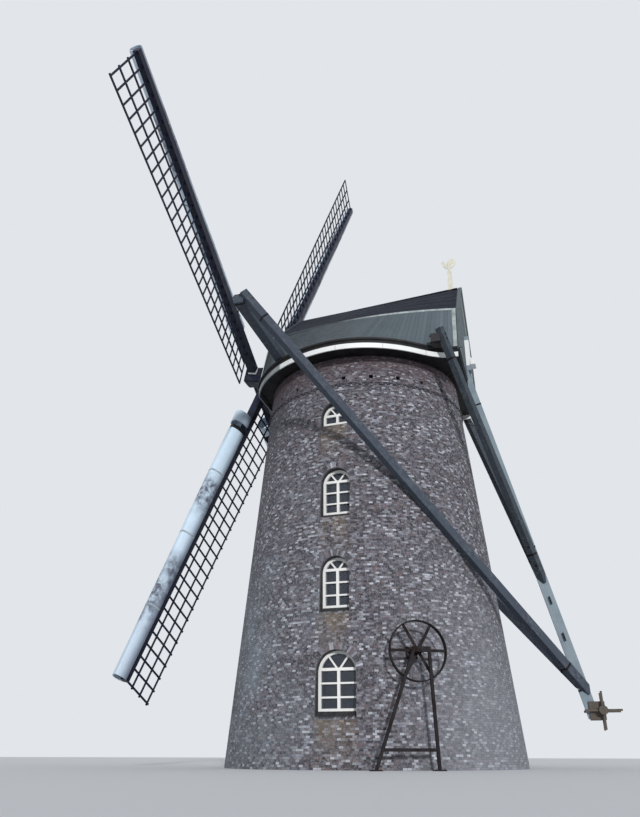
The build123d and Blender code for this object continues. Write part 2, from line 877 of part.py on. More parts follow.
def cap_parts():
    """The turning cap and the tail frame that pushes it round."""
    holes = spreet_hole(long_spreet_at, long_spreet_level) + spreet_hole(short_spreet_at, short_spreet_level)
    passage = round_bar(shaft_radius + shaft_passage, neck_middle, 0)
    parts = {
        "cap_ring": cap_ring(),
        "eaves_band": eaves_band(),
        "tail_gable": tail_gable(),
        "front_panel": front_panel() - passage,
        "weather_beam": weather_beam(),
        "tail_beam": tail_beam(),
        "long_spreet": spreet(long_spreet_at, long_spreet_half, long_spreet_level),
        "short_spreet": spreet(short_spreet_at, short_spreet_half, short_spreet_level),
        "tail_pole": tail_pole(),
        "winch": winch(),
        "beard": beard() - passage,
        "cock_post": cock_post(),
    }
    handed = {
        "sheer": sheer(),
        "cap_wall": cap_wall() - holes,
        "roof_slope": roof_slope(),
        "long_brace": long_brace(),
        "short_brace": short_brace(),
    }
    for name, right in handed.items():
        for side, shape in both_sides(right).items():
            parts[f"{name}_{side}"] = shape
    return parts


def sail_parts():
    parts = {"windshaft": windshaft(), "stock_outer": stock(0), "stock_inner": stock(1)}
    one_lattice = lattice()
    one_nose = nose()
    for number in range(4):
        parts[f"sail_lattice_{number + 1}"] = sail_plane(number) * one_lattice
        parts[f"sail_nose_{number + 1}"] = sail_plane(number) * one_nose
    return parts


def tower_parts():
    upper = storeys[1:]
    parts = tower_walls()
    parts["floor_ground"] = ground_floor()
    for storey in upper:
        parts["floor_" + storey] = tower_floor(storey)
    parts["window_frames"] = Compound([window_frame(storey) for storey in storeys])
    parts["window_glass"] = Compound([window_glass(storey) for storey in storeys])
    parts["back_window_frames"] = Compound([opposite(window_frame(storey)) for storey in upper])
    parts["back_window_glass"] = Compound([opposite(window_glass(storey)) for storey in upper])
    parts["door_frame"] = door_frame()
    parts["door_leaf"] = door_leaf()
    parts["string_course"] = string_course()
    parts["curb"] = curb()
    parts["pulley_stand"] = pulley_stand()
    parts["wall_bearing"] = wall_bearing()
    return parts


os.makedirs("parts", exist_ok=True)
windmill = {**tower_parts(), **cap_parts(), **sail_parts()}
windmill["weathercock"] = weathercock()
windmill["pulley"] = pulley()
for name, shape in windmill.items():
    export_step(shape, f"parts/{name}.step")
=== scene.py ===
import json
import math
import random

import bmesh
import bpy
from mathutils import Matrix, Vector


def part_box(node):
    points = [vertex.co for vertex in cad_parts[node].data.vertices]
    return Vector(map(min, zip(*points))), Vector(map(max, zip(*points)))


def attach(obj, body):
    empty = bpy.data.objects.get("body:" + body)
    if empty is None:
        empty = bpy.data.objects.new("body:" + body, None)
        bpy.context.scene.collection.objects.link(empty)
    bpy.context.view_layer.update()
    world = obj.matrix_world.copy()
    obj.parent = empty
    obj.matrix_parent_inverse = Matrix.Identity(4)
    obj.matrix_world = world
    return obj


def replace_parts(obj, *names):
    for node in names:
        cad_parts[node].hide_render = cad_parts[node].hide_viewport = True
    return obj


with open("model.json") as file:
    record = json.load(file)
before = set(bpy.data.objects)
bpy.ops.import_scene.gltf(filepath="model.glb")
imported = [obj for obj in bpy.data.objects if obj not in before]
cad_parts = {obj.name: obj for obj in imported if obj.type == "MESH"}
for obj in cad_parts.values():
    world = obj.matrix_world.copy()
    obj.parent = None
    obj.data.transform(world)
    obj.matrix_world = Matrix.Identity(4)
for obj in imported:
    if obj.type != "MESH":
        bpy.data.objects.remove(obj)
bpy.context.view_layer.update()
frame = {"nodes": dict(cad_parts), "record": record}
nodes = frame["nodes"]


# The viewpoint: a camera held low, in front of the tower's windows and a little towards its tail,
# tilted up at the cap.
camera_place = (23.413, 5.365, 0.3125)
camera_ahead = Vector((-0.86198, -0.2613, 0.43441))
camera_roll = math.radians(0.11)
lens_length = 31.77
film_width = 36
far_limit = 400

camera_data = bpy.data.cameras.new("camera")
camera_data.lens = lens_length
camera_data.sensor_width = film_width
camera_data.clip_end = far_limit
camera = bpy.data.objects.new("camera", camera_data)
bpy.context.scene.collection.objects.link(camera)
turn = camera_ahead.to_track_quat("-Z", "Y").to_matrix() @ Matrix.Rotation(camera_roll, 3, "Z")
camera.matrix_world = Matrix.Translation(camera_place) @ turn.to_4x4()
bpy.context.scene.camera = camera


# The stage: a plain pale floor at ground level under a pale sky, lit by one broad low lamp from
# beside the viewer and by the even light of the room.
floor_half = 150
floor_colour = (0.72, 0.73, 0.75, 1)
sky_colour = (0.76, 0.79, 0.83, 1)
room_light = 0.62
lamp_strength = 2.1
lamp_spread = math.radians(3.5)
lamp_azimuth = math.radians(25)
lamp_height = math.radians(13)


class Shading:
    """The shader nodes of one finish or effect. Inputs are plain values, or sockets to link."""

    def __init__(self, tree):
        self.tree = tree

    def feed(self, socket, value):
        if isinstance(value, bpy.types.NodeSocket):
            self.tree.links.new(value, socket)
        else:
            socket.default_value = value

    def place(self, kind, inputs, **choices):
        """Add a node with its settings, feed its inputs, and give back its outputs."""
        node = self.tree.nodes.new("ShaderNode" + kind)
        for name, value in choices.items():
            setattr(node, name, value)
        for name, value in inputs.items():
            self.feed(node.inputs[name], value)
        return node.outputs

    def math(self, operation, *values, **choices):
        return self.place("Math", dict(enumerate(values)), operation=operation, **choices)[0]

    def fade(self, value, start, end, low=0.0, high=1.0):
        """Go from low to high as a value goes from start to end."""
        return self.place("MapRange", {
            "Value": value, "From Min": start, "From Max": end, "To Min": low, "To Max": high})["Result"]


class Finish(Shading):
    """A material; its plain values are set on the shader's own sockets."""

    def __init__(self, name, roughness, **plain):
        self.material = bpy.data.materials.new(name)
        self.material.use_nodes = True
        super().__init__(self.material.node_tree)
        self.shader = self.tree.nodes["Principled BSDF"].inputs
        for socket, value in {"Roughness": roughness, **plain}.items():
            self.shader[socket.replace("_", " ")].default_value = value


def new_object(name, bm, *finishes):
    """Turn a finished bmesh into an object in the scene."""
    mesh = bpy.data.meshes.new(name)
    bm.to_mesh(mesh)
    bm.free()
    for finish in finishes:
        mesh.materials.append(finish.material)
    piece = bpy.data.objects.new(name, mesh)
    bpy.context.scene.collection.objects.link(piece)
    return piece


bm = bmesh.new()
bmesh.ops.create_grid(bm, x_segments=1, y_segments=1, size=floor_half)
floor = new_object("floor", bm, Finish("pale_floor", 0.9, Base_Color=floor_colour))

world = bpy.data.worlds.new("room")
world.use_nodes = True
bpy.context.scene.world = world
background = world.node_tree.nodes["Background"].inputs
background["Color"].default_value = sky_colour
room = Shading(world.node_tree)
rays = room.place("LightPath", {})
seen = room.math("MAXIMUM", rays["Is Camera Ray"], rays["Is Glossy Ray"])
seen = room.math("MAXIMUM", seen, rays["Is Transmission Ray"])
room.feed(background["Strength"], room.fade(seen, 0.0, 1.0, room_light, 1.0))

lamp_data = bpy.data.lights.new("lamp", "SUN")
lamp_data.energy = lamp_strength
lamp_data.angle = lamp_spread
lamp = bpy.data.objects.new("lamp", lamp_data)
towards_lamp = Vector((
    math.cos(lamp_height) * math.cos(lamp_azimuth),
    math.cos(lamp_height) * math.sin(lamp_azimuth),
    math.sin(lamp_height)))
lamp.rotation_euler = towards_lamp.to_track_quat("Z", "Y").to_euler()
bpy.context.scene.collection.objects.link(lamp)
bpy.context.scene.view_settings.view_transform = "Standard"


# Effects that several finishes share: clouds of uneven tone, rain streaks that run down, and the
# grain of timber along a piece's length. Each is built once and takes its own values in a finish.
def shared_effect(name, inputs, *outputs):
    """An effect that is still empty, with its inputs, numbers or vectors, and its outputs, numbers."""
    tree = bpy.data.node_groups.new(name, "ShaderNodeTree")
    for label, value in inputs.items():
        kind = "NodeSocketVector" if isinstance(value, tuple) else "NodeSocketFloat"
        tree.interface.new_socket(label, in_out="INPUT", socket_type=kind).default_value = value
    for label in outputs:
        tree.interface.new_socket(label, in_out="OUTPUT", socket_type="NodeSocketFloat")
    entry = tree.nodes.new("NodeGroupInput")
    leave = tree.nodes.new("NodeGroupOutput")
    return Shading(tree), entry.outputs, leave.inputs


def object_point(shading):
    """Where a point lies in the object's frame."""
    return shading.place("TexCoord", {})["Object"]


clouds, entry, leave = shared_effect("clouds", {"Scale": 1.0, "Low": 0.4, "High": 0.6}, "Mask")
noise = clouds.place("TexNoise", {
    "Vector": object_point(clouds), "Scale": entry["Scale"], "Detail": 6.0, "Roughness": 0.62})
clouds.feed(leave["Mask"], clouds.fade(noise["Fac"], entry["Low"], entry["High"]))

streaks, entry, leave = shared_effect(
    "rain_streaks", {"Across": 5.0, "Down": 0.35, "Low": 0.45, "High": 0.7}, "Mask")
scale = streaks.place("CombineXYZ", {"X": entry["Across"], "Y": entry["Across"], "Z": entry["Down"]})
drawn = streaks.place("VectorMath", {0: object_point(streaks), 1: scale[0]}, operation="MULTIPLY")
noise = streaks.place("TexNoise", {"Vector": drawn[0], "Scale": 1.0, "Detail": 4.0})
streaks.feed(leave["Mask"], streaks.fade(noise["Fac"], entry["Low"], entry["High"]))

grain, entry, leave = shared_effect(
    "timber_grain", {"Along": (0.0, 0.0, 1.0), "Fineness": 60.0, "Length": 0.8}, "Tone", "Height")
spot = object_point(grain)
reach = grain.place("VectorMath", {0: spot, 1: entry["Along"]}, operation="DOT_PRODUCT")["Value"]
line = grain.place("VectorMath", {0: entry["Along"], "Scale": reach}, operation="SCALE")[0]
beside = grain.place("VectorMath", {0: spot, 1: line}, operation="SUBTRACT")[0]
fine = grain.place("VectorMath", {0: beside, "Scale": entry["Fineness"]}, operation="SCALE")[0]
long = grain.place("VectorMath", {0: line, "Scale": entry["Length"]}, operation="SCALE")[0]
fibre = grain.place("VectorMath", {0: fine, 1: long}, operation="ADD")[0]
noise = grain.place("TexNoise", {"Vector": fibre, "Scale": 1.0, "Detail": 3.0, "Distortion": 0.4})
grain.feed(leave["Tone"], grain.fade(noise["Fac"], 0.3, 0.7))
grain.feed(leave["Height"], noise["Fac"])


# The tower's wall: bricks in lime mortar, laid as headers all round so that they follow the curve,
# to an even batter. Their faces stand proud of the weathered joints, and each burnt to its own tone.
wall_segments = ("window_side", "tail_right", "tail_left", "door_side", "front_left", "front_right")
segment_arc = 2 * math.pi / len(wall_segments)
course_height = 0.06
header_pitch = 0.112
joint_half = 0.0045
joint_depth = 0.007
skin_gap = 0.004
# An opening: the azimuth that it faces in degrees, its width, the level of its sill and its height.
windows = [(-0.2, 1.115, 1.35, 1.51), (-1.3, 0.865, 4.02, 1.41),
           (-1.9, 0.915, 6.79, 1.4), (-3.0, 0.915, 9.82, 0.7)]
back_windows = [(facing + 180, *sizes) for facing, *sizes in windows[1:]]
door = (180, 1.15, 0.25, 2.35)
openings = [*windows, *back_windows, door]
window_setback = 0.25
sill_fall = 0.5
arch_depth = 0.19
putlog_level = 11.375
putlog_half = 0.065
putlog_first = math.radians(1.6)
putlog_count = 24
wall_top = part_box("wall_window_side")[1].z
upward = Vector((0, 0, 1))
tones = random.Random(11)


def ring_radius(level):
    """Distance from the tower's axis to the wall's outer face, at a level where it has corners."""
    corners = (vert.co for vert in nodes["wall_window_side"].data.vertices)
    return max(math.hypot(corner.x, corner.y) for corner in corners if abs(corner.z - level) < 0.001)


base_radius = ring_radius(0)
batter = (base_radius - ring_radius(wall_top)) / wall_top


def wall_radius(level):
    return base_radius - batter * level


def facing_axes(facing):
    """The way out and the way across, for an opening that faces an azimuth in degrees."""
    angle = math.radians(facing)
    return Vector((math.cos(angle), math.sin(angle), 0)), Vector((-math.sin(angle), math.cos(angle), 0))


def frame_front(sill, height):
    """Distance from the tower's axis to the face of a window's frame."""
    return wall_radius(sill + height) - window_setback


def sill_edge(sill, height):
    """Level where the sloping sill in front of a window meets the face of the wall."""
    return (sill - sill_fall * (base_radius - frame_front(sill, height))) / (1 - sill_fall * batter)


def bricks_where(bm, facing, chosen):
    """Bricks on the side that faces an azimuth, chosen by how far aside and how high they are."""
    out, across = facing_axes(facing)
    middles = [(face, face.calc_center_median()) for face in bm.faces]
    return [face for face, middle in middles if middle.dot(out) > 0 and chosen(middle.dot(across), middle.z)]


def saw_bricks(bm, facing, half, low, high):
    """Saw the bricks off round an upright rectangle on the wall, and take out those inside it."""
    across = facing_axes(facing)[1]
    for point, normal in ((across * half, across), (across * -half, across),
                          (upward * low, upward), (upward * high, upward)):
        near = bricks_where(bm, facing, lambda aside, level: (
            abs(aside) < half + header_pitch and low - course_height < level < high + course_height))
        edges = {edge for face in near for edge in face.edges}
        verts = {vert for face in near for vert in face.verts}
        bmesh.ops.bisect_plane(bm, geom=[*near, *edges, *verts], plane_co=point, plane_no=normal)
    inside = bricks_where(bm, facing, lambda aside, level: abs(aside) < half and low < level < high)
    bmesh.ops.delete(bm, geom=inside, context="FACES")


def clear_arch(bm, facing, half, springing):
    """Take out the bricks behind the arch over an opening."""
    inside = bricks_where(bm, facing, lambda aside, level: (
        level > springing and math.hypot(aside, level - springing) < half + arch_depth / 2))
    bmesh.ops.delete(bm, geom=inside, context="FACES")


def face_outwards(bm, centre):
    """Turn every face of an open shell away from its centre."""
    bm.normal_update()
    wrong = [face for face in bm.faces if face.normal.dot(face.calc_center_median() - centre) < 0]
    bmesh.ops.reverse_faces(bm, faces=wrong)
    bm.normal_update()


def draw_tones(bm, palest=1.0):
    """Give each face its own random tone."""
    tone = bm.faces.layers.float.new("tone")
    for face in bm.faces:
        face[tone] = tones.random() * palest


def finish_piece(name, bm, slot, body, *finishes, ease=0.0):
    """Make the piece from its bmesh, with eased edges where asked, and set it on its body."""
    piece = new_object(name, bm, *finishes)
    if ease:
        edges = piece.modifiers.new("eased_edges", "BEVEL")
        edges.width = ease
        edges.segments = 2
        edges.limit_method = "ANGLE"
    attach(piece, body)
    return piece


def finish_bricks(name, bm):
    """Give each brick its tone and its bevelled edge down to the joint, and set them on the tower."""
    draw_tones(bm)
    bricks = set(bm.faces)
    bmesh.ops.inset_individual(bm, faces=list(bm.faces), thickness=joint_half, depth=joint_depth)
    for face in bm.faces:
        face.material_index = 0 if face in bricks else 1
    return finish_piece(name, bm, "brickwork", "tower", burnt_brick, lime_mortar)


def dress(finish, *names):
    """Give plain nodes their finish."""
    for name in names:
        nodes[name].data.materials.clear()
        nodes[name].data.materials.append(finish.material)


def use(shading, effect, *values):
    """Add a shared effect with its values in order, and give back its outputs."""
    node = shading.tree.nodes.new("ShaderNodeGroup")
    node.node_tree = effect.tree
    for socket, value in zip(node.inputs, values):
        shading.feed(socket, value)
    return node.outputs


def mask(shading, effect, *values):
    return use(shading, effect, *values)[0]


def object_axes(shading):
    """Where a point lies, as X, Y and Z."""
    return shading.place("SeparateXYZ", {"Vector": object_point(shading)})


def given_tone(shading):
    """The tone that a brick or board was given."""
    return shading.place("Attribute", {}, attribute_name="tone")["Fac"]


def times(shading, product, *values):
    for value in values:
        product = shading.math("MULTIPLY", product, value)
    return product


def with_alpha(colour):
    return (*colour, 1) if isinstance(colour, tuple) else colour


def blend(shading, share, first, second, way="MIX"):
    """Mix two colours, each plain or a socket, by the share of the second."""
    share_socket, first_socket, second_socket, result_socket = 0, 6, 7, 2
    inputs = {share_socket: share, first_socket: with_alpha(first), second_socket: with_alpha(second)}
    return shading.place("Mix", inputs, data_type="RGBA", blend_type=way)[result_socket]


def lay(shading, colour, *layers):
    """Cover a colour layer by layer: each has its place, the share of it that covers, and a colour."""
    for where, share, cover in layers:
        colour = blend(shading, times(shading, where, share), colour, cover)
    return colour


def coat(finish, colour, height, depth):
    """Give the shader its colour, and the surface a relief of some depth."""
    finish.feed(finish.shader["Base Color"], with_alpha(colour))
    relief = finish.place("Bump", {"Height": height, "Distance": depth})
    finish.feed(finish.shader["Normal"], relief["Normal"])
    return finish


def brick_colour(finish):
    """Burnt brick, each in its own tone from plum and brown to pale grey."""
    ramp = finish.tree.nodes.new("ShaderNodeValToRGB")
    finish.feed(ramp.inputs["Fac"], given_tone(finish))
    stops = ((0.0, (0.026, 0.024, 0.032)), (0.26, (0.06, 0.055, 0.068)), (0.5, (0.105, 0.1, 0.122)),
             (0.62, (0.13, 0.095, 0.1)), (0.74, (0.165, 0.168, 0.197)), (0.9, (0.26, 0.27, 0.305)),
             (1.0, (0.5, 0.52, 0.57)))
    for number, (at, colour) in enumerate(stops):
        stop = ramp.color_ramp.elements[number] if number < 2 else ramp.color_ramp.elements.new(at)
        stop.position = at
        stop.color = (*colour, 1)
    return ramp.outputs["Color"]


stains, entry, leave = shared_effect("stains_below_windows", {"Length": 1.3}, "Mask")
ahead, across, level = object_axes(stains)
stained = 0.0
for facing, width, sill, height in windows:
    middle = wall_radius(sill) * math.sin(math.radians(facing))
    aside = stains.math("ABSOLUTE", stains.math("SUBTRACT", across, middle))
    beside = stains.fade(aside, width / 2 + 0.06, width / 2 - 0.12)
    fall = stains.math("SUBTRACT", sill_edge(sill, height), level)
    spent = stains.math("DIVIDE", fall, entry["Length"], use_clamp=True)
    left = stains.math("SUBTRACT", 1.0, spent)
    run = times(stains, left, stains.math("GREATER_THAN", fall, 0.0), beside)
    stained = stains.math("MAXIMUM", run, stained)
front = stains.math("GREATER_THAN", ahead, 0.0)
stains.feed(leave["Mask"], times(stains, stained, front, mask(stains, streaks, 5.0, 0.5, 0.28, 0.62)))


def wall_weather_and_painted_light(finish, colour):
    """Pale bloom low on the sails' side, painted light low on the right, painted shade high on the left,
    brick darker and redder towards the top under the cap, ochre runs below the sills, and painted shade
    inside every hole and recess."""
    ahead, across, level = object_axes(finish)
    bloom = times(
        finish, finish.fade(level, 9.0, 3.5), finish.fade(across, 0.4, -2.8), mask(finish, clouds, 0.55, 0.38, 0.66))
    # Painted light: the wall paler low on the right, where the light falls.
    painted_light_low_right = times(finish, finish.fade(level, 6.5, 1.5), finish.fade(across, 1.2, 3.6))
    # Painted shade: the wall darker high on the left, under the cap.
    shaded = times(finish, finish.fade(level, 8.6, 11.4), finish.fade(across, -0.6, -2.6))
    out = finish.place("CombineXYZ", {"X": ahead, "Y": across})[0]
    out = finish.place("VectorMath", {0: out}, operation="LENGTH")["Value"]
    depth = finish.math("SUBTRACT", finish.math("MULTIPLY_ADD", level, -batter, base_radius), out)
    return lay(
        finish, colour,
        (bloom, 0.5, (0.30, 0.37, 0.42)),
        (mask(finish, clouds, 17.0, 0.52, 0.6), 0.42, (0.36, 0.37, 0.41)),
        (mask(finish, clouds, 1.6, 0.42, 0.62), 0.22, (0.075, 0.062, 0.07)),
        (painted_light_low_right, 0.45, (0.34, 0.36, 0.40)),
        (shaded, 0.75, (0.035, 0.03, 0.04)),
        # Brick darker and redder towards the top, under the cap.
        (finish.fade(level, wall_top - 1.1, wall_top - 0.15), 0.62, (0.085, 0.05, 0.055)),
        (mask(finish, stains, 1.25), 0.6, (0.20, 0.15, 0.085)),
        # Painted shade: dark inside every hole and recess, by depth behind the wall's face.
        (finish.fade(depth, 0.015, 0.13), 0.9, (0.012, 0.011, 0.012)))


burnt_brick = Finish("burnt_brick", 0.9)
speckle = mask(burnt_brick, clouds, 60.0, 0.3, 0.7)
colour = wall_weather_and_painted_light(burnt_brick, brick_colour(burnt_brick))
colour = blend(burnt_brick, times(burnt_brick, speckle, 0.3), colour, (0.5, 0.48, 0.5), "OVERLAY")
coat(burnt_brick, colour, speckle, 0.003)

lime_mortar = Finish("lime_mortar", 0.95)
speckle = mask(lime_mortar, clouds, 80.0, 0.3, 0.7)
colour = blend(lime_mortar, speckle, (0.17, 0.16, 0.17), (0.30, 0.29, 0.31))
coat(lime_mortar, wall_weather_and_painted_light(lime_mortar, colour), speckle, 0.002)

laid_brick = Finish("laid_brick", 0.93)
ahead, across, level = object_axes(laid_brick)
run = times(laid_brick, laid_brick.math("ARCTAN2", across, ahead), wall_radius(wall_top / 2))
courses = laid_brick.place("TexBrick", {
    "Vector": laid_brick.place("CombineXYZ", {"X": run, "Y": level})[0], "Scale": 1.0,
    "Mortar Size": joint_half, "Mortar Smooth": 0.2, "Bias": -0.2,
    "Brick Width": header_pitch, "Row Height": course_height,
    "Color1": (0.09, 0.08, 0.095, 1), "Color2": (0.24, 0.23, 0.26, 1), "Mortar": (0.24, 0.24, 0.27, 1)})
coat(laid_brick, wall_weather_and_painted_light(laid_brick, courses["Color"]), courses["Fac"], -0.006)

course_mesh = bpy.data.meshes.new("course")
for number, segment in enumerate(wall_segments):
    bm = bmesh.new()
    first_angle = segment_arc * (number - 0.5)
    for course in range(round(wall_top / course_height)):
        low = course * course_height
        high = min(low + course_height, wall_top)
        step = 2 * math.pi / round(2 * math.pi * wall_radius(low) / header_pitch)
        shift = 0.5 * (course % 2)
        first = math.ceil(first_angle / step - shift - 0.5)
        last = math.ceil((first_angle + segment_arc) / step - shift - 0.5)
        strip = bmesh.new()
        upright = [strip.verts.new((wall_radius(level) + skin_gap, 0, level)) for level in (low, high)]
        edge = strip.edges.new(upright)
        start = Matrix.Rotation((first + shift) * step, 3, "Z")
        bmesh.ops.rotate(strip, verts=upright, cent=(0, 0, 0), matrix=start)
        bmesh.ops.spin(strip, geom=[*upright, edge], cent=(0, 0, 0), axis=upward,
                       angle=(last - first) * step, steps=last - first)
        strip.to_mesh(course_mesh)
        strip.free()
        bm.from_mesh(course_mesh)
    face_outwards(bm, upward * wall_top / 2)
    for facing, width, sill, height in openings:
        if math.cos(math.radians(facing) - segment_arc * number) > math.cos(segment_arc / 2):
            foot = sill if facing == door[0] else sill_edge(sill, height)
            saw_bricks(bm, facing, width / 2, foot, sill + height - width / 2)
            clear_arch(bm, facing, width / 2, sill + height - width / 2)
    for hole in range(putlog_count):
        turn = putlog_first + 2 * math.pi * hole / putlog_count
        if math.cos(turn - segment_arc * number) > math.cos(segment_arc / 2):
            saw_bricks(bm, math.degrees(turn), putlog_half, putlog_level - putlog_half, putlog_level + putlog_half)
    finish_bricks("bricks_" + segment, bm)
    dress(laid_brick, "wall_" + segment)


# Over each window and the door: an arch one brick deep, of bricks stood on end and set round the
# half circle, on the face of the wall.
arch_lift = 0.013
arch_bed = 0.05


def thicken(piece, thickness, offset=-1, rim_only=False):
    """Give a skin its thickness, or only the edge that makes it look thick."""
    solid = piece.modifiers.new("thickness", "SOLIDIFY")
    solid.thickness = thickness
    solid.offset = offset
    solid.use_rim_only = rim_only


for number, (facing, width, sill, height) in enumerate(openings, start=1):
    out, across = facing_axes(facing)
    springing = sill + height - width / 2
    count = round(math.pi * (width + arch_depth) / 2 / course_height)
    bm = bmesh.new()
    ends = [bm.verts.new(upward * springing - across * reach) for reach in (width / 2, width / 2 + arch_depth)]
    bmesh.ops.spin(bm, geom=[*ends, bm.edges.new(ends)], cent=upward * springing, axis=-out,
                   angle=math.pi, steps=count)
    for vert in bm.verts:
        aside = vert.co.dot(across)
        vert.co += out * math.sqrt((wall_radius(vert.co.z) + arch_lift) ** 2 - aside ** 2)
    face_outwards(bm, upward * springing)
    thicken(finish_bricks(f"brick_arch_{number}", bm), arch_bed, rim_only=True)


# Under the cap: a string course of bricks on end, every second one set forward, with a plain
# course above. Its bricks take only the darker tones, as painted shade.
string_low, string_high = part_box("string_course")
string_height = string_high.z - string_low.z
string_radius = string_high.x
string_bed = 0.03
string_joint = 0.004
# Painted shade: the string course's bricks are drawn from the darker tones only.
string_palest_painted_shade = 0.3


def add_block(bm, size, matrix):
    """A squared block, moved to its place by a matrix."""
    block = bmesh.ops.create_cube(bm, size=1)
    bmesh.ops.transform(bm, verts=block["verts"], matrix=matrix @ Matrix.Diagonal((*size, 1)))


bm = bmesh.new()
count = round(2 * math.pi * string_radius / (2 * header_pitch)) * 2
deep = string_radius - wall_radius(string_low.z) + string_bed
for low, high, steps, stride, gap in ((0.0, 0.6, count, 2, 0.002), (0.6, 1.0, count // 2, 1, 0.006)):
    arc = 2 * math.pi / steps
    size = (deep, string_radius * arc - gap, string_height * (high - low) - string_joint)
    middle = Matrix.Translation((string_radius - deep / 2, 0, string_low.z + string_height * (low + high) / 2))
    for number in range(0, steps, stride):
        add_block(bm, size, Matrix.Rotation(arc * number, 4, "Z") @ middle)
draw_tones(bm, string_palest_painted_shade)
string = finish_piece("string_of_bricks", bm, "brickwork", "tower", burnt_brick)
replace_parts(string, "string_course")


# Sills: bricks on edge, laid to fall out from each window's frame, with their ends a little proud
# of the wall.
sill_lift = 0.005
sill_proud = 0.02
sill_thickness = 0.05
for number, (facing, width, sill, height) in enumerate(openings[:-1], start=1):
    out, across = facing_axes(facing)
    front = frame_front(sill, height)
    reach = wall_radius(sill_edge(sill, height)) + sill_proud - front
    bm = bmesh.new()
    bmesh.ops.create_grid(bm, x_segments=2, y_segments=round(width / course_height), size=0.5)
    for vert in bm.verts:
        share, aside = vert.co.x + 0.5, vert.co.y * width
        far = share * reach - share * aside ** 2 / (2 * wall_radius(sill))
        vert.co = out * (front + far) + across * aside + upward * (sill - sill_fall * far + sill_lift)
    bm.normal_update()
    thicken(finish_bricks(f"brick_sill_{number}", bm), sill_thickness, rim_only=True)


# Windows: painted wooden casements with a rounded head. Two glazing bars cross the lower lights
# into three rows of panes, and two more open as a V in the head. The panes are old drawn glass.
bar_size = 0.05
bar_ease = 0.006
frame_member = 0.075
transom_lift = 0.09
bar_setback = 0.008
head_bar_lean = math.radians(33)


def bar_between(bm, start, end, out):
    """A straight glazing bar between two points in the plane of a window that faces one way."""
    along = (end - start).normalized()
    axes = Matrix((out, along.cross(out).normalized(), along)).transposed().to_4x4()
    add_block(bm, (bar_size, bar_size, (end - start).length), Matrix.Translation((start + end) / 2) @ axes)


def window_bars(bm, facing, width, sill, height):
    """The bars of one window: one row of panes under the transom of the low top window, else three."""
    out, across = facing_axes(facing)
    rows = 3 if height > width else 1
    springing = sill + height - width / 2
    transom = springing + transom_lift
    centre = out * (frame_front(sill, height) - bar_setback - bar_size / 2)
    inside = width / 2 - frame_member
    for row in range(1, rows):
        middle = centre + upward * (sill + (transom - sill) * row / rows)
        bar_between(bm, middle - across * inside, middle + across * inside, out)
    reach = inside + frame_member / 2
    for side in (-1, 1):
        foot = centre + upward * transom + across * side * bar_size / 2
        tip = centre + upward * (springing + math.cos(head_bar_lean) * reach)
        bar_between(bm, foot, tip + across * side * math.sin(head_bar_lean) * reach, out)


white_paint = Finish("white_paint", 0.45)
dirt = mask(white_paint, clouds, 3.0, 0.45, 0.75)
worn = times(white_paint, dirt, mask(white_paint, streaks, 14.0, 1.2, 0.5, 0.75))
coat(white_paint, blend(white_paint, worn, (0.86, 0.86, 0.84), (0.52, 0.53, 0.52)), dirt, 0.0015)
dress(white_paint, "window_frames", "back_window_frames")
for name, shown in (("window_bars", windows), ("back_window_bars", back_windows)):
    bm = bmesh.new()
    for window in shown:
        window_bars(bm, *window)
    bmesh.ops.bevel(bm, geom=bm.edges[:], offset=bar_ease, affect="EDGES", segments=1, profile=0.5, material=-1)
    finish_piece(name, bm, "window_paint", "tower", white_paint)

drawn_glass = Finish("drawn_glass", 0.03, IOR=1.5, Transmission_Weight=0.85)
coat(drawn_glass, (0.16, 0.19, 0.26), mask(drawn_glass, clouds, 2.6, 0.2, 0.8), 0.02)
dress(drawn_glass, "window_glass", "back_window_glass")


# The cap's lower walls: upright boards nailed side by side to the frame, each a little proud of its
# neighbours' gaps, stained grey-green and washed pale in streaks by the rain, with painted shade towards
# the sails that turns to painted light towards the tail.
wall_board = 0.17
board_gap = 0.004
board_lift = 0.006
board_proud = 0.013
same_place = 0.0005
sides = {"right": 1, "left": -1}
eaves_level, kink_level = (corner.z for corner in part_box("cap_wall_right"))


def edge_line(node, level):
    """Points along a node's outer edge at one level, from the sails to the tail."""
    widest = {}
    for vert in nodes[node].data.vertices:
        at = round(vert.co.y, 3)
        if abs(vert.co.z - level) < same_place and (at not in widest or abs(vert.co.x) > abs(widest[at].x)):
            widest[at] = vert.co.copy()
    return [widest[at] for at in sorted(widest)]


def evenly(points, count):
    """Points at even steps along a line of points."""
    reaches = [0.0]
    for first, second in zip(points, points[1:]):
        reaches.append(reaches[-1] + (second - first).length)
    stepped = [points[0].copy()]
    for number in range(1, count):
        reach = reaches[-1] * number / count
        index = next(index for index in range(1, len(reaches)) if reaches[index] >= reach)
        share = (reach - reaches[index - 1]) / (reaches[index] - reaches[index - 1])
        stepped.append(points[index - 1].lerp(points[index], share))
    return stepped + [points[-1].copy()]


def between_lines(low, high, side, low_lift, high_lift):
    """A skin stretched between two lines of points, turned to one side and lifted off its frame."""
    bm = bmesh.new()
    count = len(low) - 1
    bmesh.ops.create_grid(bm, x_segments=count, y_segments=1, size=0.5)
    lifts = {}
    for vert in bm.verts:
        index = round((vert.co.x + 0.5) * count)
        lifts[vert] = high_lift if vert.co.y > 0 else low_lift
        vert.co = (high if vert.co.y > 0 else low)[index]
    if side < 0:
        bmesh.ops.reverse_faces(bm, faces=bm.faces)
    bm.normal_update()
    for vert, lift in lifts.items():
        vert.co += vert.normal * lift
    return bm


def finish_boards(name, low, high, side, finish):
    """Board up the space between two lines: each board has its own tone, with open joints between."""
    bm = between_lines(low, high, side, board_lift, board_lift)
    draw_tones(bm)
    bmesh.ops.inset_individual(bm, faces=list(bm.faces), thickness=board_gap, depth=board_proud)
    finish_piece(name, bm, "cap_cladding", "cap", finish)


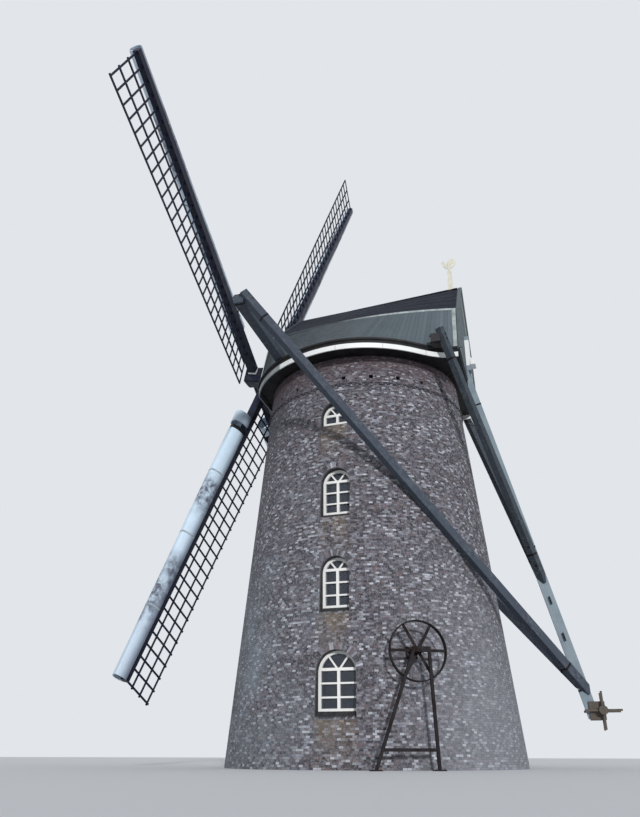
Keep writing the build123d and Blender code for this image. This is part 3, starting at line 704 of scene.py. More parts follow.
def boarding(name, stained, worn, streaked, painted_light_to_tail):
    """Boards whose tone differs from one to the next, streaked by rain and clouded by lichen, with
    painted shade towards the sails that turns to painted light towards the tail."""
    boards = Finish(name, 0.8)
    fibre = use(boards, grain, (0.0, 0.0, 1.0), 45.0, 0.7)
    colour = lay(
        boards, stained,
        # Painted shade towards the sails, turning to painted light towards the tail.
        (boards.fade(object_axes(boards)["Y"], -1.2, 3.6), 1.0, painted_light_to_tail),
        (given_tone(boards), 0.4, worn),
        (fibre["Tone"], 0.35, worn),
        (mask(boards, streaks, 16.0, 0.5, 0.38, 0.72), 0.45, streaked),
        (mask(boards, clouds, 1.3, 0.42, 0.7), 0.3, streaked))
    return coat(boards, colour, fibre["Height"], 0.004)


wall_boards = boarding(
    "grey_green_boards", (0.025, 0.034, 0.043), (0.024, 0.03, 0.038), (0.1, 0.13, 0.145), (0.135, 0.175, 0.20))
for name, side in sides.items():
    eaves, kink = (edge_line("cap_wall_" + name, level) for level in (eaves_level, kink_level))
    count = round(sum((second - first).length for first, second in zip(eaves, eaves[1:])) / wall_board)
    finish_boards("wall_boards_" + name, evenly(eaves, count), evenly(kink, count), side, wall_boards)
    dress(wall_boards, "cap_wall_" + name)


# The roof: sheets of tarred felt laid from the eaves up, each course lapped over the one below, and a
# board folded over the ridge.
felt_courses = 5
felt_columns = 26
felt_lap = 0.1
felt_low_lift = 0.014
felt_high_lift = 0.006
felt_thickness = 0.005
ridge_width = 0.16
ridge_thickness = 0.03


def gather(parts):
    """Join several finished bmeshes into one."""
    whole = bmesh.new()
    for bm in parts:
        bm.to_mesh(course_mesh)
        bm.free()
        whole.from_mesh(course_mesh)
    return whole


def bent_board(points, outs, up, thickness, width):
    """A board bent along a line of points: a bar cut crosswise, with each cut set on its point."""
    bm = bmesh.new()
    bmesh.ops.create_cube(bm, size=1)
    lengthwise = [edge for edge in bm.edges if abs(edge.verts[0].co.x - edge.verts[1].co.x) > 0.5]
    if len(points) > 2:
        bmesh.ops.subdivide_edges(bm, edges=lengthwise, cuts=len(points) - 2)
    for vert in bm.verts:
        index = round((vert.co.x + 0.5) * (len(points) - 1))
        vert.co = points[index] + outs[index] * (vert.co.y * thickness) + up * (vert.co.z * width)
    bmesh.ops.recalc_face_normals(bm, faces=bm.faces)
    return bm


def straight_board(start, end, out, up, thickness, width):
    return bent_board([start, end], [out, out], up, thickness, width)


def square_to(way, axis):
    """The part of a way that is square to an axis."""
    return (way - axis * way.dot(axis)).normalized()


roof_felt = Finish("tarred_felt", 0.8, Specular_IOR_Level=0.15)
grit = mask(roof_felt, clouds, 70.0, 0.3, 0.7)
colour = lay(
    roof_felt, (0.012, 0.015, 0.026),
    (mask(roof_felt, clouds, 1.1, 0.4, 0.72), 0.6, (0.026, 0.03, 0.042)),
    (mask(roof_felt, streaks, 7.0, 0.6, 0.42, 0.75), 0.4, (0.045, 0.05, 0.06)),
    (grit, 0.3, (0.006, 0.007, 0.012)))
coat(roof_felt, colour, grit, 0.003)

slope_points = (vert.co.copy() for vert in nodes["roof_slope_right"].data.vertices)
ridge_points = [point for point in slope_points if abs(point.x) < same_place]
ridge_front = max((point for point in ridge_points if point.y < 0), key=lambda point: point.z)
ridge_tail = max((point for point in ridge_points if point.y > 0), key=lambda point: point.z)
ridge = evenly([ridge_front, ridge_tail], felt_columns)
along = (ridge_tail - ridge_front).normalized()
ridge_boards = []
for name, side in sides.items():
    kink = evenly(edge_line("cap_wall_" + name, kink_level), felt_columns)
    slope = (ridge_tail - kink[-1]).length
    sheets = []
    for course in range(felt_courses):
        low = course / felt_courses
        high = min(1.0, (course + 1) / felt_courses + felt_lap / slope)
        lower, upper = ([foot.lerp(top, share) for foot, top in zip(kink, ridge)] for share in (low, high))
        sheets.append(between_lines(lower, upper, side, felt_low_lift, felt_high_lift))
    felt = finish_piece("roof_felt_" + name, gather(sheets), "roof_felt", "cap", roof_felt)
    thicken(felt, felt_thickness, offset=1)
    dress(roof_felt, "roof_slope_" + name)
    down = evenly(edge_line("cap_wall_right", kink_level), 2)[1] - ridge_front.lerp(ridge_tail, 0.5)
    down.x *= side
    down = square_to(down, along)
    out = along.cross(down) * -side
    middle = down * ridge_width / 2 + out * (felt_low_lift + ridge_thickness / 2)
    ridge_boards.append(straight_board(
        ridge_front + middle, ridge_tail + middle, out, down, ridge_thickness, ridge_width))
finish_piece("ridge_boards", gather(ridge_boards), "roof_felt", "cap", roof_felt, ease=0.006)


# Where the slope meets the wall a pale weathered strip runs along the kink, darkened with painted shade
# towards the sails. Black drip boards hang over the band at the eaves as a painted shadow line, and
# pale boards cover the corners of the walls.
kink_strip_width = 0.075
kink_strip_thickness = 0.035
kink_cuts = 30
# The stretch of the kink strip that is darkened with painted shade, towards the sails.
kink_painted_shade_from, kink_painted_shade_to = -3.4, -0.4
# Black boards along the eaves that stand in for the shadow line over the band: painted shadow.
shadow_strip_width = 0.07
shadow_strip_thickness = 0.04
shadow_strip_sunk = 0.005
shadow_strip_cuts = 40
corner_width = 0.13
corner_thickness = 0.028
tailward = Vector((0, 1, 0))


def bare_boards(name, stretch=None):
    """Boards weathered bare and pale, darkened with painted shade on the stretch given."""
    boards = Finish(name, 0.75)
    run = mask(boards, streaks, 9.0, 1.5, 0.45, 0.75)
    layers = [(mask(boards, clouds, 2.4, 0.42, 0.7), 0.8, (0.16, 0.19, 0.18)), (run, 0.5, (0.1, 0.12, 0.115))]
    if stretch:
        start, end = stretch
        # Painted shade darkens the stretch given.
        along = object_axes(boards)["Y"]
        painted_shade_stretch = times(boards, boards.fade(along, start, start + 0.3), boards.fade(along, end + 1.6, end))
        layers.append((painted_shade_stretch, 1.0, (0.045, 0.058, 0.065)))
    return coat(boards, lay(boards, (0.42, 0.47, 0.47), *layers), run, 0.002)


def level_outs(points, side):
    """The level way out at each point of a line that runs from the sails to the tail."""
    runs = [after - before for before, after in zip([points[0], *points], [*points[1:], points[-1]])]
    return [Vector((run.y, -run.x, 0)).normalized() * side for run in runs]


bare_edge = bare_boards("bare_weathered_edge")
kink_edge = bare_boards("part_bare_edge", (kink_painted_shade_from, kink_painted_shade_to))
# Tar black, for the tarred cap frame, and also painted shade on the drip boards, the noses' hollow ends and under the
# cap.
tar_and_painted_shade = Finish("tarred_boards", 0.6, Specular_IOR_Level=0.25)
worn = mask(tar_and_painted_shade, clouds, 3.0, 0.4, 0.7)
coat(tar_and_painted_shade, blend(tar_and_painted_shade, worn, (0.012, 0.012, 0.014), (0.03, 0.027, 0.026)), worn, 0.002)

strips, shadow_strips, corners = [], [], []
for name, side in sides.items():
    kink = evenly(edge_line("cap_wall_" + name, kink_level), kink_cuts)
    outs = level_outs(kink, side)
    lifted = [point + out * (board_proud + kink_strip_thickness / 2) for point, out in zip(kink, outs)]
    strips.append(bent_board(lifted, outs, upward, kink_strip_thickness, kink_strip_width))
    # Painted shadow: a black board along the eaves, over the band.
    eaves = evenly(edge_line("cap_wall_" + name, eaves_level), shadow_strip_cuts)
    outs = level_outs(eaves, side)
    lifted = [point + out * (board_proud + shadow_strip_thickness / 2 - shadow_strip_sunk) + upward * shadow_strip_width / 2
              for point, out in zip(eaves, outs)]
    shadow_strips.append(bent_board(lifted, outs, upward, shadow_strip_thickness, shadow_strip_width))
    for foot, top, inwards in ((eaves[0], kink[0], eaves[1] - eaves[0]), (eaves[-1], kink[-1], -tailward)):
        rise = (top - foot).normalized()
        across = square_to(inwards, rise)
        out = across.cross(rise)
        out = out if out.x * side > 0 else -out
        middle = across * corner_width / 2 + out * (board_lift + board_proud + corner_thickness / 2)
        corners.append(straight_board(foot + middle, top + middle, out, across, corner_thickness, corner_width))
finish_piece("kink_strips", gather(strips), "cap_cladding", "cap", kink_edge, ease=0.006)
finish_piece("drip_boards_painted_shadow", gather(shadow_strips), "cap_timber", "cap", tar_and_painted_shade, ease=0.006)
finish_piece("corner_boards", gather(corners), "cap_cladding", "cap", bare_edge, ease=0.005)


# The tail gable: upright boards up to the roof, edged with pale barge boards, under verge boards
# that stand out past them at the end of the roof.
gable_boards_across = 32
barge_width = 0.15
barge_thickness = 0.03
verge_overhang = 0.085
verge_thickness = 0.035
verge_sunk = 0.06
gable_face, gable_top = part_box("tail_gable")[1].yz
gable_foot, gable_kink, gable_peak = (
    edge_line("tail_gable", level)[-1] for level in (eaves_level, kink_level, gable_top))


def gable_height(aside):
    """Level of the gable's edge at a distance from its middle."""
    low, high = (gable_foot, gable_kink) if aside > abs(gable_kink.x) else (gable_kink, gable_peak)
    share = (abs(low.x) - aside) / (abs(low.x) - abs(high.x))
    return low.z + (high.z - low.z) * share


half = abs(gable_foot.x)
lower, upper = [], []
for number in range(gable_boards_across + 1):
    across = half - 2 * half * number / gable_boards_across
    lower.append(Vector((across, gable_face, eaves_level)))
    upper.append(Vector((across, gable_face, max(eaves_level, gable_height(min(abs(across), half))))))
gable_timber = boarding(
    "gable_boards", (0.075, 0.09, 0.085), (0.05, 0.062, 0.065), (0.14, 0.17, 0.18), (0.085, 0.105, 0.12))
finish_boards("gable_boards", lower, upper, 1, gable_timber)
dress(gable_timber, "tail_gable")
barges, verges = [], []
for side in sides.values():
    corners = [Vector((abs(corner.x) * side, gable_face, corner.z)) for corner in (gable_foot, gable_kink, gable_peak)]
    for foot, top in zip(corners, corners[1:]):
        out = (top - foot).normalized().cross(tailward)
        out = out if out.x * side > 0 else -out
        middle = tailward * (board_lift + board_proud + barge_thickness / 2) - out * barge_width / 2
        barges.append(straight_board(foot + middle, top + middle, tailward, out, barge_thickness, barge_width))
        middle = tailward * verge_overhang / 2 + out * verge_thickness / 2
        verges.append(straight_board(
            foot + middle, top + middle, out, tailward, verge_thickness, verge_overhang + verge_sunk))
finish_piece("barge_boards", gather(barges), "cap_cladding", "cap", bare_edge, ease=0.005)
finish_piece("verge_boards", gather(verges), "cap_cladding", "cap", gable_timber, ease=0.005)


# The windshaft and its two stocks: an oak shaft with a cast poll head, through which the tapering
# stocks of riveted steel plate pass. All are painted blue-black; iron bands bind the poll head, and
# a white band marks each stock where it enters.
joints = {joint["name"]: joint for joint in frame["record"]["behaviour"]["joints"]}
hub = Vector(joints["sails_turn"]["pos_m"])
ahead = Vector(joints["sails_turn"]["axis"]).normalized()
rightward = Vector((1, 0, 0))
first_sail_angle = math.radians(69.9)
stock_offset = 0.305
sail_length = 12.5
poll_half = 0.32
stock_root_half = 0.155
stock_tip_half = 0.095
rivet_pitch = 0.3
rivet_radius = 0.013
rivet_inset = 0.03
first_rivet = 0.45
rivets_end = 0.5
poll_band_places = (-0.56, 0.0, 0.56)
poll_band_half = 0.03
band_proud = 0.008
band_thickness = 0.01
stock_band_reach = 0.37
stock_band_half = 0.035


def sail_place(number):
    """Where a sail lies: X towards its leading side, Y ahead along the shaft, Z out to its tip."""
    turned = first_sail_angle + number * math.pi / 2
    outward = ahead.cross(rightward) * math.cos(turned) + rightward * math.sin(turned)
    axes = Matrix((ahead.cross(outward), ahead, outward)).transposed().to_4x4()
    return Matrix.Translation(hub + ahead * stock_offset * (-1) ** number) @ axes


def stock_half(reach):
    """Half the side of a stock, which tapers from the poll head to the tip."""
    share = max(0.0, reach - poll_half) / (sail_length - poll_half)
    return stock_root_half + (stock_tip_half - stock_root_half) * share


def node_skin(node):
    """A copy of a node's mesh with its corners joined."""
    bm = bmesh.new()
    bm.from_mesh(nodes[node].data)
    bmesh.ops.remove_doubles(bm, verts=bm.verts, dist=same_place)
    return bm


def cut_off(bm, spot, way):
    """Take away what lies past a spot, and give back the edges of the cut."""
    everything = bm.verts[:] + bm.edges[:] + bm.faces[:]
    cut = bmesh.ops.bisect_plane(bm, geom=everything, plane_co=spot, plane_no=way, clear_outer=True)
    return [edge for edge in cut["geom_cut"] if isinstance(edge, bmesh.types.BMEdge)]


def band_round(node, spot, way, half, proud):
    """A band cut across the skin of a node, drawn a little proud of it."""
    bm = node_skin(node)
    cut_off(bm, spot + way * half, way)
    cut_off(bm, spot - way * half, -way)
    bm.normal_update()
    for vert in bm.verts:
        vert.co += vert.normal * proud
    return bm


def finish_bands(name, parts, slot, body, finish):
    """Bands with the thickness of flat iron."""
    thicken(finish_piece(name, gather(parts), slot, body, finish), band_thickness)


def roughen(finish, where, low, high):
    """Take the shader's roughness from low to high with a mask."""
    finish.feed(finish.shader["Roughness"], finish.fade(where, 0.0, 1.0, low, high))


stock_paint = Finish("blue_black_steel", 0.5, Specular_IOR_Level=0.2)
worn = mask(stock_paint, clouds, 2.5, 0.46, 0.68)
chalk = mask(stock_paint, clouds, 14.0, 0.4, 0.7)
colour = lay(
    stock_paint, (0.006, 0.008, 0.022),
    (worn, 0.7, (0.016, 0.02, 0.045)),
    (chalk, 0.25, (0.04, 0.045, 0.07)),
    (mask(stock_paint, clouds, 5.0, 0.6, 0.7), 0.5, (0.06, 0.025, 0.012)))
coat(stock_paint, colour, chalk, 0.001)
roughen(stock_paint, worn, 0.34, 0.62)
dress(stock_paint, "stock_outer", "stock_inner", "windshaft")

sail_places = [sail_place(number) for number in range(4)]
bands = []
for number, setting in enumerate(sail_places):
    bm = bmesh.new()
    for step in range(int((sail_length - poll_half - rivets_end) / rivet_pitch)):
        reach = poll_half + first_rivet + step * rivet_pitch
        half = stock_half(reach)
        for turned in range(4):
            facing = setting @ Matrix.Rotation(turned * math.pi / 2, 4, "Z")
            for side in (-1, 1):
                head = Matrix.Translation((side * (half - rivet_inset), half, reach))
                bmesh.ops.create_cone(
                    bm, cap_ends=True, segments=6, radius1=rivet_radius, radius2=rivet_radius / 2,
                    depth=rivet_radius, matrix=facing @ head @ Matrix.Rotation(-math.pi / 2, 4, "X"))
    finish_piece(f"stock_rivets_{number + 1}", bm, "stock_paint", "sails", stock_paint)
    stock = "stock_inner" if number % 2 else "stock_outer"
    bands.append(band_round(
        stock, setting @ (upward * stock_band_reach), setting.to_3x3().col[2], stock_band_half, band_proud))
finish_bands("stock_bands", bands, "white_paint", "sails", white_paint)
bands = [band_round("windshaft", hub + ahead * at, ahead, poll_band_half, band_proud) for at in poll_band_places]
finish_bands("poll_bands", bands, "stock_paint", "sails", stock_paint)


# The sails' noses: sheets bent over ribs along the leading side, painted pale, with lapped joints
# between them and open inner ends, blacked inside as painted shade. A short piece of nose stands alone
# nearer the poll head.
nose_start = 3.2
short_nose_span = (1.2, 1.88)
short_nose_move = 1.03
rim_width = 0.016
hollow_inset = 0.002
hollow_depth = 0.16
seam_places = (5.15, 7.7, 10.3)
seam_half = 0.03
seam_proud = 0.004
# Reaches along each sail where the nose is darker in patches.
dark_patch_reaches = ((5.4, 6.6), (8.6, 10.8))

seam_dirt = Finish("grimy_seam", 0.6)
spots = mask(seam_dirt, clouds, 8.0, 0.35, 0.7)
coat(seam_dirt, blend(seam_dirt, spots, (0.40, 0.47, 0.52), (0.2, 0.23, 0.25)), spots, 0.002)


def nose_paint(name, setting):
    """Pale paint on one nose, with painted shade along the stock's back and towards the tip, and darker
    patches at given reaches along the sail.
    """
    paint = Finish(name, 0.38)
    point = object_point(paint)
    places = []
    for axis in setting.to_3x3().col:
        place = paint.place("VectorMath", {0: point, 1: tuple(axis)}, operation="DOT_PRODUCT")["Value"]
        places.append(paint.math("SUBTRACT", place, setting.translation.dot(axis)))
    across, forward, reach = places
    dark_patches = 0.0
    for start, end in dark_patch_reaches:
        stretch = times(
            paint, paint.fade(reach, start - 0.3, start + 0.3), paint.fade(reach, end + 0.5, end - 0.2))
        dark_patches = paint.math("MAXIMUM", dark_patches, stretch)
    dark_patches = times(
        paint, dark_patches, mask(paint, clouds, 1.5, 0.34, 0.54), mask(paint, clouds, 5.0, 0.32, 0.58))
    # Painted shade: dark along the stock on the nose's back.
    painted_shade_by_stock = times(paint, paint.fade(across, 0.36, 0.15), paint.fade(forward, 0.06, -0.02))
    haze = mask(paint, clouds, 1.9, 0.35, 0.75)
    colour = lay(
        paint, (0.64, 0.79, 0.92),
        (haze, 0.6, (0.53, 0.65, 0.77)),
        # Painted shade: greyer towards the tip.
        (paint.fade(reach, 7.0, 12.5), 0.45, (0.36, 0.40, 0.48)),
        (painted_shade_by_stock, 0.8, (0.13, 0.15, 0.2)),
        (dark_patches, 1.0, (0.09, 0.1, 0.14)))
    roughen(paint, dark_patches, 0.34, 0.8)
    return coat(paint, colour, haze, 0.006)


def nose_length(node, setting, span, move):
    """A length of a node's nose between two reaches, hollow where it is sawn across, and moved out."""
    outward = setting.to_3x3().col[2]
    bm = node_skin(node)
    for reach, way in ((span[0], -outward), (span[1], outward)):
        rim = cut_off(bm, setting @ (upward * reach), way)
        if rim:
            ends = bmesh.ops.holes_fill(bm, edges=rim, sides=0)["faces"]
            bm.normal_update()
            bmesh.ops.inset_region(bm, faces=ends, thickness=rim_width, use_even_offset=True)
            walls = bmesh.ops.inset_region(bm, faces=ends, thickness=hollow_inset, depth=-hollow_depth)["faces"]
            # The hollow ends take the second finish, tar black, as painted shade.
            for face in ends + walls:
                face.material_index = 1
    bmesh.ops.translate(bm, verts=bm.verts, vec=outward * move)
    return bm


for number, setting in enumerate(sail_places, start=1):
    node = f"sail_nose_{number}"
    outward = setting.to_3x3().col[2]
    paint = nose_paint(f"pale_nose_paint_{number}", setting)
    for name, span, move in (
            ("nose", (nose_start, 2 * sail_length), 0), ("short_nose", short_nose_span, short_nose_move)):
        bm = nose_length(node, setting, span, move)
        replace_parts(finish_piece(f"{name}_{number}", bm, "nose_boards", "sails", paint, tar_and_painted_shade), node)
    bands = [band_round(node, setting @ (upward * reach), outward, seam_half, seam_proud) for reach in seam_places]
    finish_bands(f"nose_seams_{number}", bands, "nose_boards", "sails", seam_dirt)
    dress(paint, node)


# The lattices: bars mortised through the stock and laths nailed over them, tarred blue-black. An
# iron clamp holds each bar where it leaves the stock.
lattice_first = 1.305
lattice_last = 12.445
lattice_bars = 29
clamp_size = (0.05, 0.062, 0.085)
clamp_aside = 0.022
clamp_back = 0.004


def timber(name, colour, worn, along, roughness=0.75, faded=None):
    """Painted or tarred timber, its grain along the piece, worn in patches and chalky in places."""
    wood = Finish(name, roughness, Specular_IOR_Level=0.25)
    fibre = use(wood, grain, tuple(along))
    patch = mask(wood, clouds, 1.7, 0.38, 0.68)
    layers = [(times(wood, fibre["Tone"], patch), 1.0, worn)]
    if faded:
        layers.append((times(wood, mask(wood, clouds, 9.0, 0.4, 0.7), patch), 0.7, faded))
    return coat(wood, lay(wood, colour, *layers), fibre["Height"], 0.004)


for number, setting in enumerate(sail_places, start=1):
    node = f"sail_lattice_{number}"
    outward = setting.to_3x3() @ upward
    dress(timber(node + "_timber", (0.008, 0.011, 0.028), (0.022, 0.026, 0.045), outward, 0.6), node)
    bm = bmesh.new()
    for bar in range(lattice_bars):
        reach = lattice_first + bar * (lattice_last - lattice_first) / (lattice_bars - 1)
        place = (-stock_half(reach) - clamp_aside, -clamp_back, reach)
        add_block(bm, clamp_size, setting @ Matrix.Translation(place))
    finish_piece(f"bar_clamps_{number}", bm, "lattice_timber", "sails", stock_paint, ease=0.004)


# The tail frame: two spreets across the cap, braced down to the tail pole by four long timbers. Their
# blue-grey paint has gone chalky, and is darkened with painted shade, the short braces and short spreet
# most. Iron hoops bind their ends, and bolts hold them where they meet.
brace_foot = {"long": Vector((0.15, 6.178, 2.15)), "short": Vector((0.15, 5.443, 5.33))}
brace_head = {"long": Vector((6.8, -1.94, 12.65)), "short": Vector((3.09, 3.361, 12.54))}
brace_half = {"long": 0.1225, "short": 0.105}
# Painted shade: darker copies of the pale tail timber paint, darkest on the short braces and short spreet.
brace_colours_painted_shade = {
    "long": ((0.055, 0.068, 0.092), (0.026, 0.031, 0.044), (0.15, 0.18, 0.21)),
    "short": ((0.045, 0.056, 0.07), (0.014, 0.017, 0.022), (0.12, 0.15, 0.17))}
spreet_colours_painted_shade = {
    "long": brace_colours_painted_shade["long"],
    "short": ((0.035, 0.034, 0.038), (0.02, 0.017, 0.017), (0.09, 0.08, 0.08))}
head_hoop_reach = 0.75
foot_hoop_reach = 0.7
foot_bolt_reaches = (0.35, 0.95)
head_bolt_reaches = (-0.08, 0.08)
spreet_hoop_shares = {"long": 0.985, "short": 0.97}
spreet_bolt_asides = (-0.07, 0.07)
hoop_half = 0.03
hoop_proud = 0.005
bolt_radius = 0.03

black_iron = Finish("rusty_black_iron", 0.65, Specular_IOR_Level=0.15)
rust = mask(black_iron, clouds, 3.5, 0.45, 0.66)
pits = mask(black_iron, clouds, 40.0, 0.35, 0.7)
colour = lay(
    black_iron, (0.005, 0.005, 0.008),
    (rust, 0.5, (0.028, 0.015, 0.01)),
    (mask(black_iron, streaks, 18.0, 2.0, 0.45, 0.7), 0.25, (0.035, 0.02, 0.014)),
    (pits, 0.3, (0.02, 0.014, 0.012)))
coat(black_iron, colour, pits, 0.002)
roughen(black_iron, rust, 0.42, 0.85)


def add_bolt(bm, spot, way, radius):
    """A hexagonal nut on a round washer, set on a face that looks one way."""
    turned = way.to_track_quat("Z", "Y").to_matrix().to_4x4()
    for segments, size, depth, lift in ((14, 1.8, 0.3, 0.1), (6, 1.0, 0.9, 0.6)):
        bmesh.ops.create_cone(
            bm, cap_ends=True, segments=segments, radius1=radius * size, radius2=radius * size * 0.9,
            depth=radius * depth, matrix=Matrix.Translation(spot + way * radius * lift) @ turned)


def chalky_and_painted_shade(node, along, colour, worn, faded):
    dress(timber(node + "_paint", colour, worn, along, 0.7, faded), node)


hoops = []
bolts = bmesh.new()
for name, side in sides.items():
    mirror = Matrix.Diagonal((side, 1, 1))
    for length in ("long", "short"):
        foot, head = mirror @ brace_foot[length], mirror @ brace_head[length]
        way = (head - foot).normalized()
        node = f"{length}_brace_{name}"
        chalky_and_painted_shade(node, way, *brace_colours_painted_shade[length])
        for middle in (head - way * head_hoop_reach, foot + way * foot_hoop_reach):
            hoops.append(band_round(node, middle, way, hoop_half, hoop_proud))
        rearward = square_to(tailward, way)
        outside = rearward.cross(way)
        outside = outside if outside.x * side > 0 else -outside
        for end, reaches, out in ((foot, foot_bolt_reaches, outside), (head, head_bolt_reaches, rearward)):
            for reach in reaches:
                add_bolt(bolts, end + way * reach + out * brace_half[length], out, bolt_radius)
for length, share in spreet_hoop_shares.items():
    node = length + "_spreet"
    low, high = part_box(node)
    middle = (low + high) / 2
    chalky_and_painted_shade(node, rightward, *spreet_colours_painted_shade[length])
    for side in sides.values():
        end = Vector((high.x * side * share, middle.y, middle.z))
        hoops.append(band_round(node, end, rightward, hoop_half, hoop_proud))
        for aside in spreet_bolt_asides:
            spot = Vector((side * (brace_head[length].x + aside), low.y, middle.z + aside))
            add_bolt(bolts, spot, -tailward, bolt_radius)
finish_bands("tail_frame_hoops", hoops, "black_iron", "cap", black_iron)
finish_piece("tail_frame_bolts", bolts, "black_iron", "cap", black_iron)


# The tail pole: one long pale timber with an upright white board above its head. Cleats on its side
# hold the ropes, and hoops keep it from splitting.
board_low = 13.0
board_high = 14.05
pole_top = Vector((0, 3.68, 12.95))
pole_foot = Vector((0, 6.375, 1.3))
pole_way = (pole_foot - pole_top).normalized()
pole_half = 0.15
pole_hoop_reaches = (1.6, 6.9, 11.2)
cleat_reaches = (7.6, 8.6, 9.7, 10.8)
cleat_parts = (((0.05, 0.04, 0.06), 0.025), ((0.035, 0.045, 0.24), 0.065))
board_foot_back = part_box("tail_gable")[1].y + 0.16
board_foot_rise = 0.32
board_foot_low = (0.2, 0.18)
board_foot_high = (0.145, 0.04)

pole_paint = Finish("pale_pole_paint", 0.7)
fibre = use(pole_paint, grain, tuple(pole_way))
level = object_axes(pole_paint)["Z"]
board = times(
    pole_paint, pole_paint.math("GREATER_THAN", level, board_low), pole_paint.math("LESS_THAN", level, board_high))
colour = lay(
    pole_paint, (0.22, 0.28, 0.33),
    (fibre["Tone"], 0.5, (0.12, 0.15, 0.18)),
    (mask(pole_paint, clouds, 1.5, 0.4, 0.7), 0.6, (0.3, 0.37, 0.4)),
    (board, 1.0, (0.8, 0.83, 0.83)))
dress(coat(pole_paint, colour, fibre["Height"], 0.004), "tail_pole")
hoops = [band_round("tail_pole", pole_top + pole_way * reach, pole_way, hoop_half, hoop_proud)
         for reach in pole_hoop_reaches]
finish_bands("pole_hoops", hoops, "black_iron", "cap", black_iron)
bm = bmesh.new()
turned = pole_way.to_track_quat("Z", "Y").to_matrix().to_4x4()
for reach in cleat_reaches:
    for side in sides.values():
        for size, aside in cleat_parts:
            spot = pole_top + pole_way * reach + rightward * side * (pole_half + aside)
            add_block(bm, size, Matrix.Translation(spot) @ turned)
finish_piece("pole_cleats", bm, "black_iron", "cap", black_iron, ease=0.008)
bm = bmesh.new()
bmesh.ops.create_cube(bm, size=1)
for vert in bm.verts:
    wide, deep = board_foot_high if vert.co.z > 0 else board_foot_low
    vert.co = Vector((math.copysign(wide, vert.co.x), board_foot_back + (deep if vert.co.y > 0 else 0.0),
                      board_low + (board_foot_rise if vert.co.z > 0 else 0.0)))
finish_piece("board_foot", bm, "white_paint", "cap", white_paint, ease=0.01)


# The winch at the pole's foot: an oak drum between two cheeks, turned by handspikes, with a hoop
# at each end of the drum.
winch_hoop_aside = 0.425
winch_hoop_half = 0.016
winch_hoop_proud = 0.004
winch_oak = timber("winch_oak", (0.11, 0.09, 0.075), (0.05, 0.04, 0.033), rightward, 0.8, (0.19, 0.18, 0.165))
dress(winch_oak, "winch")
low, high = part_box("winch")
hoops = [band_round("winch", (low + high) / 2 + rightward * winch_hoop_aside * side, rightward,
                    winch_hoop_half, winch_hoop_proud) for side in sides.values()]
finish_bands("winch_hoops", hoops, "black_iron", "cap", black_iron)


# The beard under the windshaft: a board hung on the cap's front, its edges picked out in white. The
# front panel behind it is boarded like the walls.
beard_low, beard_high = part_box("beard")
edging = 0.05
edging_thickness = 0.022
dress(wall_boards, "beard", "front_panel")
front = Vector((0, beard_low.y - edging_thickness / 2, beard_high.z - edging / 2))
reach = rightward * beard_high.x
parts = [straight_board(front - reach, front + reach, tailward, upward, edging_thickness, edging)]
for side in sides.values():
    start = Vector(((beard_high.x + edging_thickness / 2) * side, beard_low.y - edging_thickness, front.z))
    end = Vector((start.x, beard_high.y, front.z))
    parts.append(straight_board(start, end, rightward, upward, edging_thickness, edging))
finish_piece("beard_edging", gather(parts), "white_paint", "cap", white_paint, ease=0.004)


# The cap's frame: tarred oak that turns on the curb, its tar black also standing in for the shade under
# the cap, and the white band of bent boards under its edge, greyed with painted shade towards the sails.
band_board = 1.55
band_painted_shade_from = -2.1

board_rows, entry, leave = shared_effect("board_rows", {"Place": 0.0, "Pitch": 0.15, "Gap": 0.004}, "Seam", "Tone")
share = board_rows.math("DIVIDE", entry["Place"], entry["Pitch"])
tone = board_rows.place("TexWhiteNoise", {"W": board_rows.math("FLOOR", share)}, noise_dimensions="1D")["Value"]
edge = times(board_rows, board_rows.math("PINGPONG", share, 0.5), entry["Pitch"])
board_rows.feed(leave["Seam"], board_rows.math("LESS_THAN", edge, entry["Gap"]))
board_rows.feed(leave["Tone"], tone)

# Tar black on the cap ring and the curb, partly standing in for the shade under the cap.
dress(tar_and_painted_shade, "cap_ring", "curb")
for node, along in (("sheer_left", tailward), ("sheer_right", tailward),
                    ("weather_beam", rightward), ("tail_beam", rightward)):
    dress(timber(node + "_oak", (0.09, 0.075, 0.06), (0.045, 0.036, 0.03), along), node)

band_paint = Finish("white_band_paint", 0.45)
aside, along, level = object_axes(band_paint)
run = times(band_paint, band_paint.math("ARCTAN2", along, aside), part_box("eaves_band")[1].x)
boards = use(band_paint, board_rows, run, band_board, 0.005)
colour = lay(
    band_paint, (0.86, 0.87, 0.86),
    (boards["Tone"], 0.12, (0.7, 0.72, 0.72)),
    (mask(band_paint, clouds, 2.0, 0.5, 0.8), 0.35, (0.55, 0.57, 0.57)),
    # Painted shade: the band's front part greyed.
    (band_paint.fade(along, band_painted_shade_from, band_painted_shade_from - 0.08), 0.85, (0.16, 0.175, 0.185)),
    (boards["Seam"], 1.0, (0.2, 0.2, 0.2)))
dress(coat(band_paint, colour, boards["Seam"], -0.004), "eaves_band")


# Floors of wide boards on joists, and the brick paving at the foot of the tower.
floor_timber = Finish("floor_boards", 0.8)
fibre = use(floor_timber, grain, (1.0, 0.0, 0.0))
boards = use(floor_timber, board_rows, object_axes(floor_timber)["Y"], 0.2, 0.003)
colour = lay(
    floor_timber, blend(floor_timber, boards["Tone"], (0.30, 0.22, 0.15), (0.2, 0.145, 0.1)),
    (fibre["Tone"], 0.5, (0.14, 0.1, 0.07)),
    (boards["Seam"], 1.0, (0.02, 0.015, 0.01)))
dress(coat(floor_timber, colour, fibre["Height"], 0.003), "floor_first", "floor_second", "floor_third")
dress(laid_brick, "floor_ground")


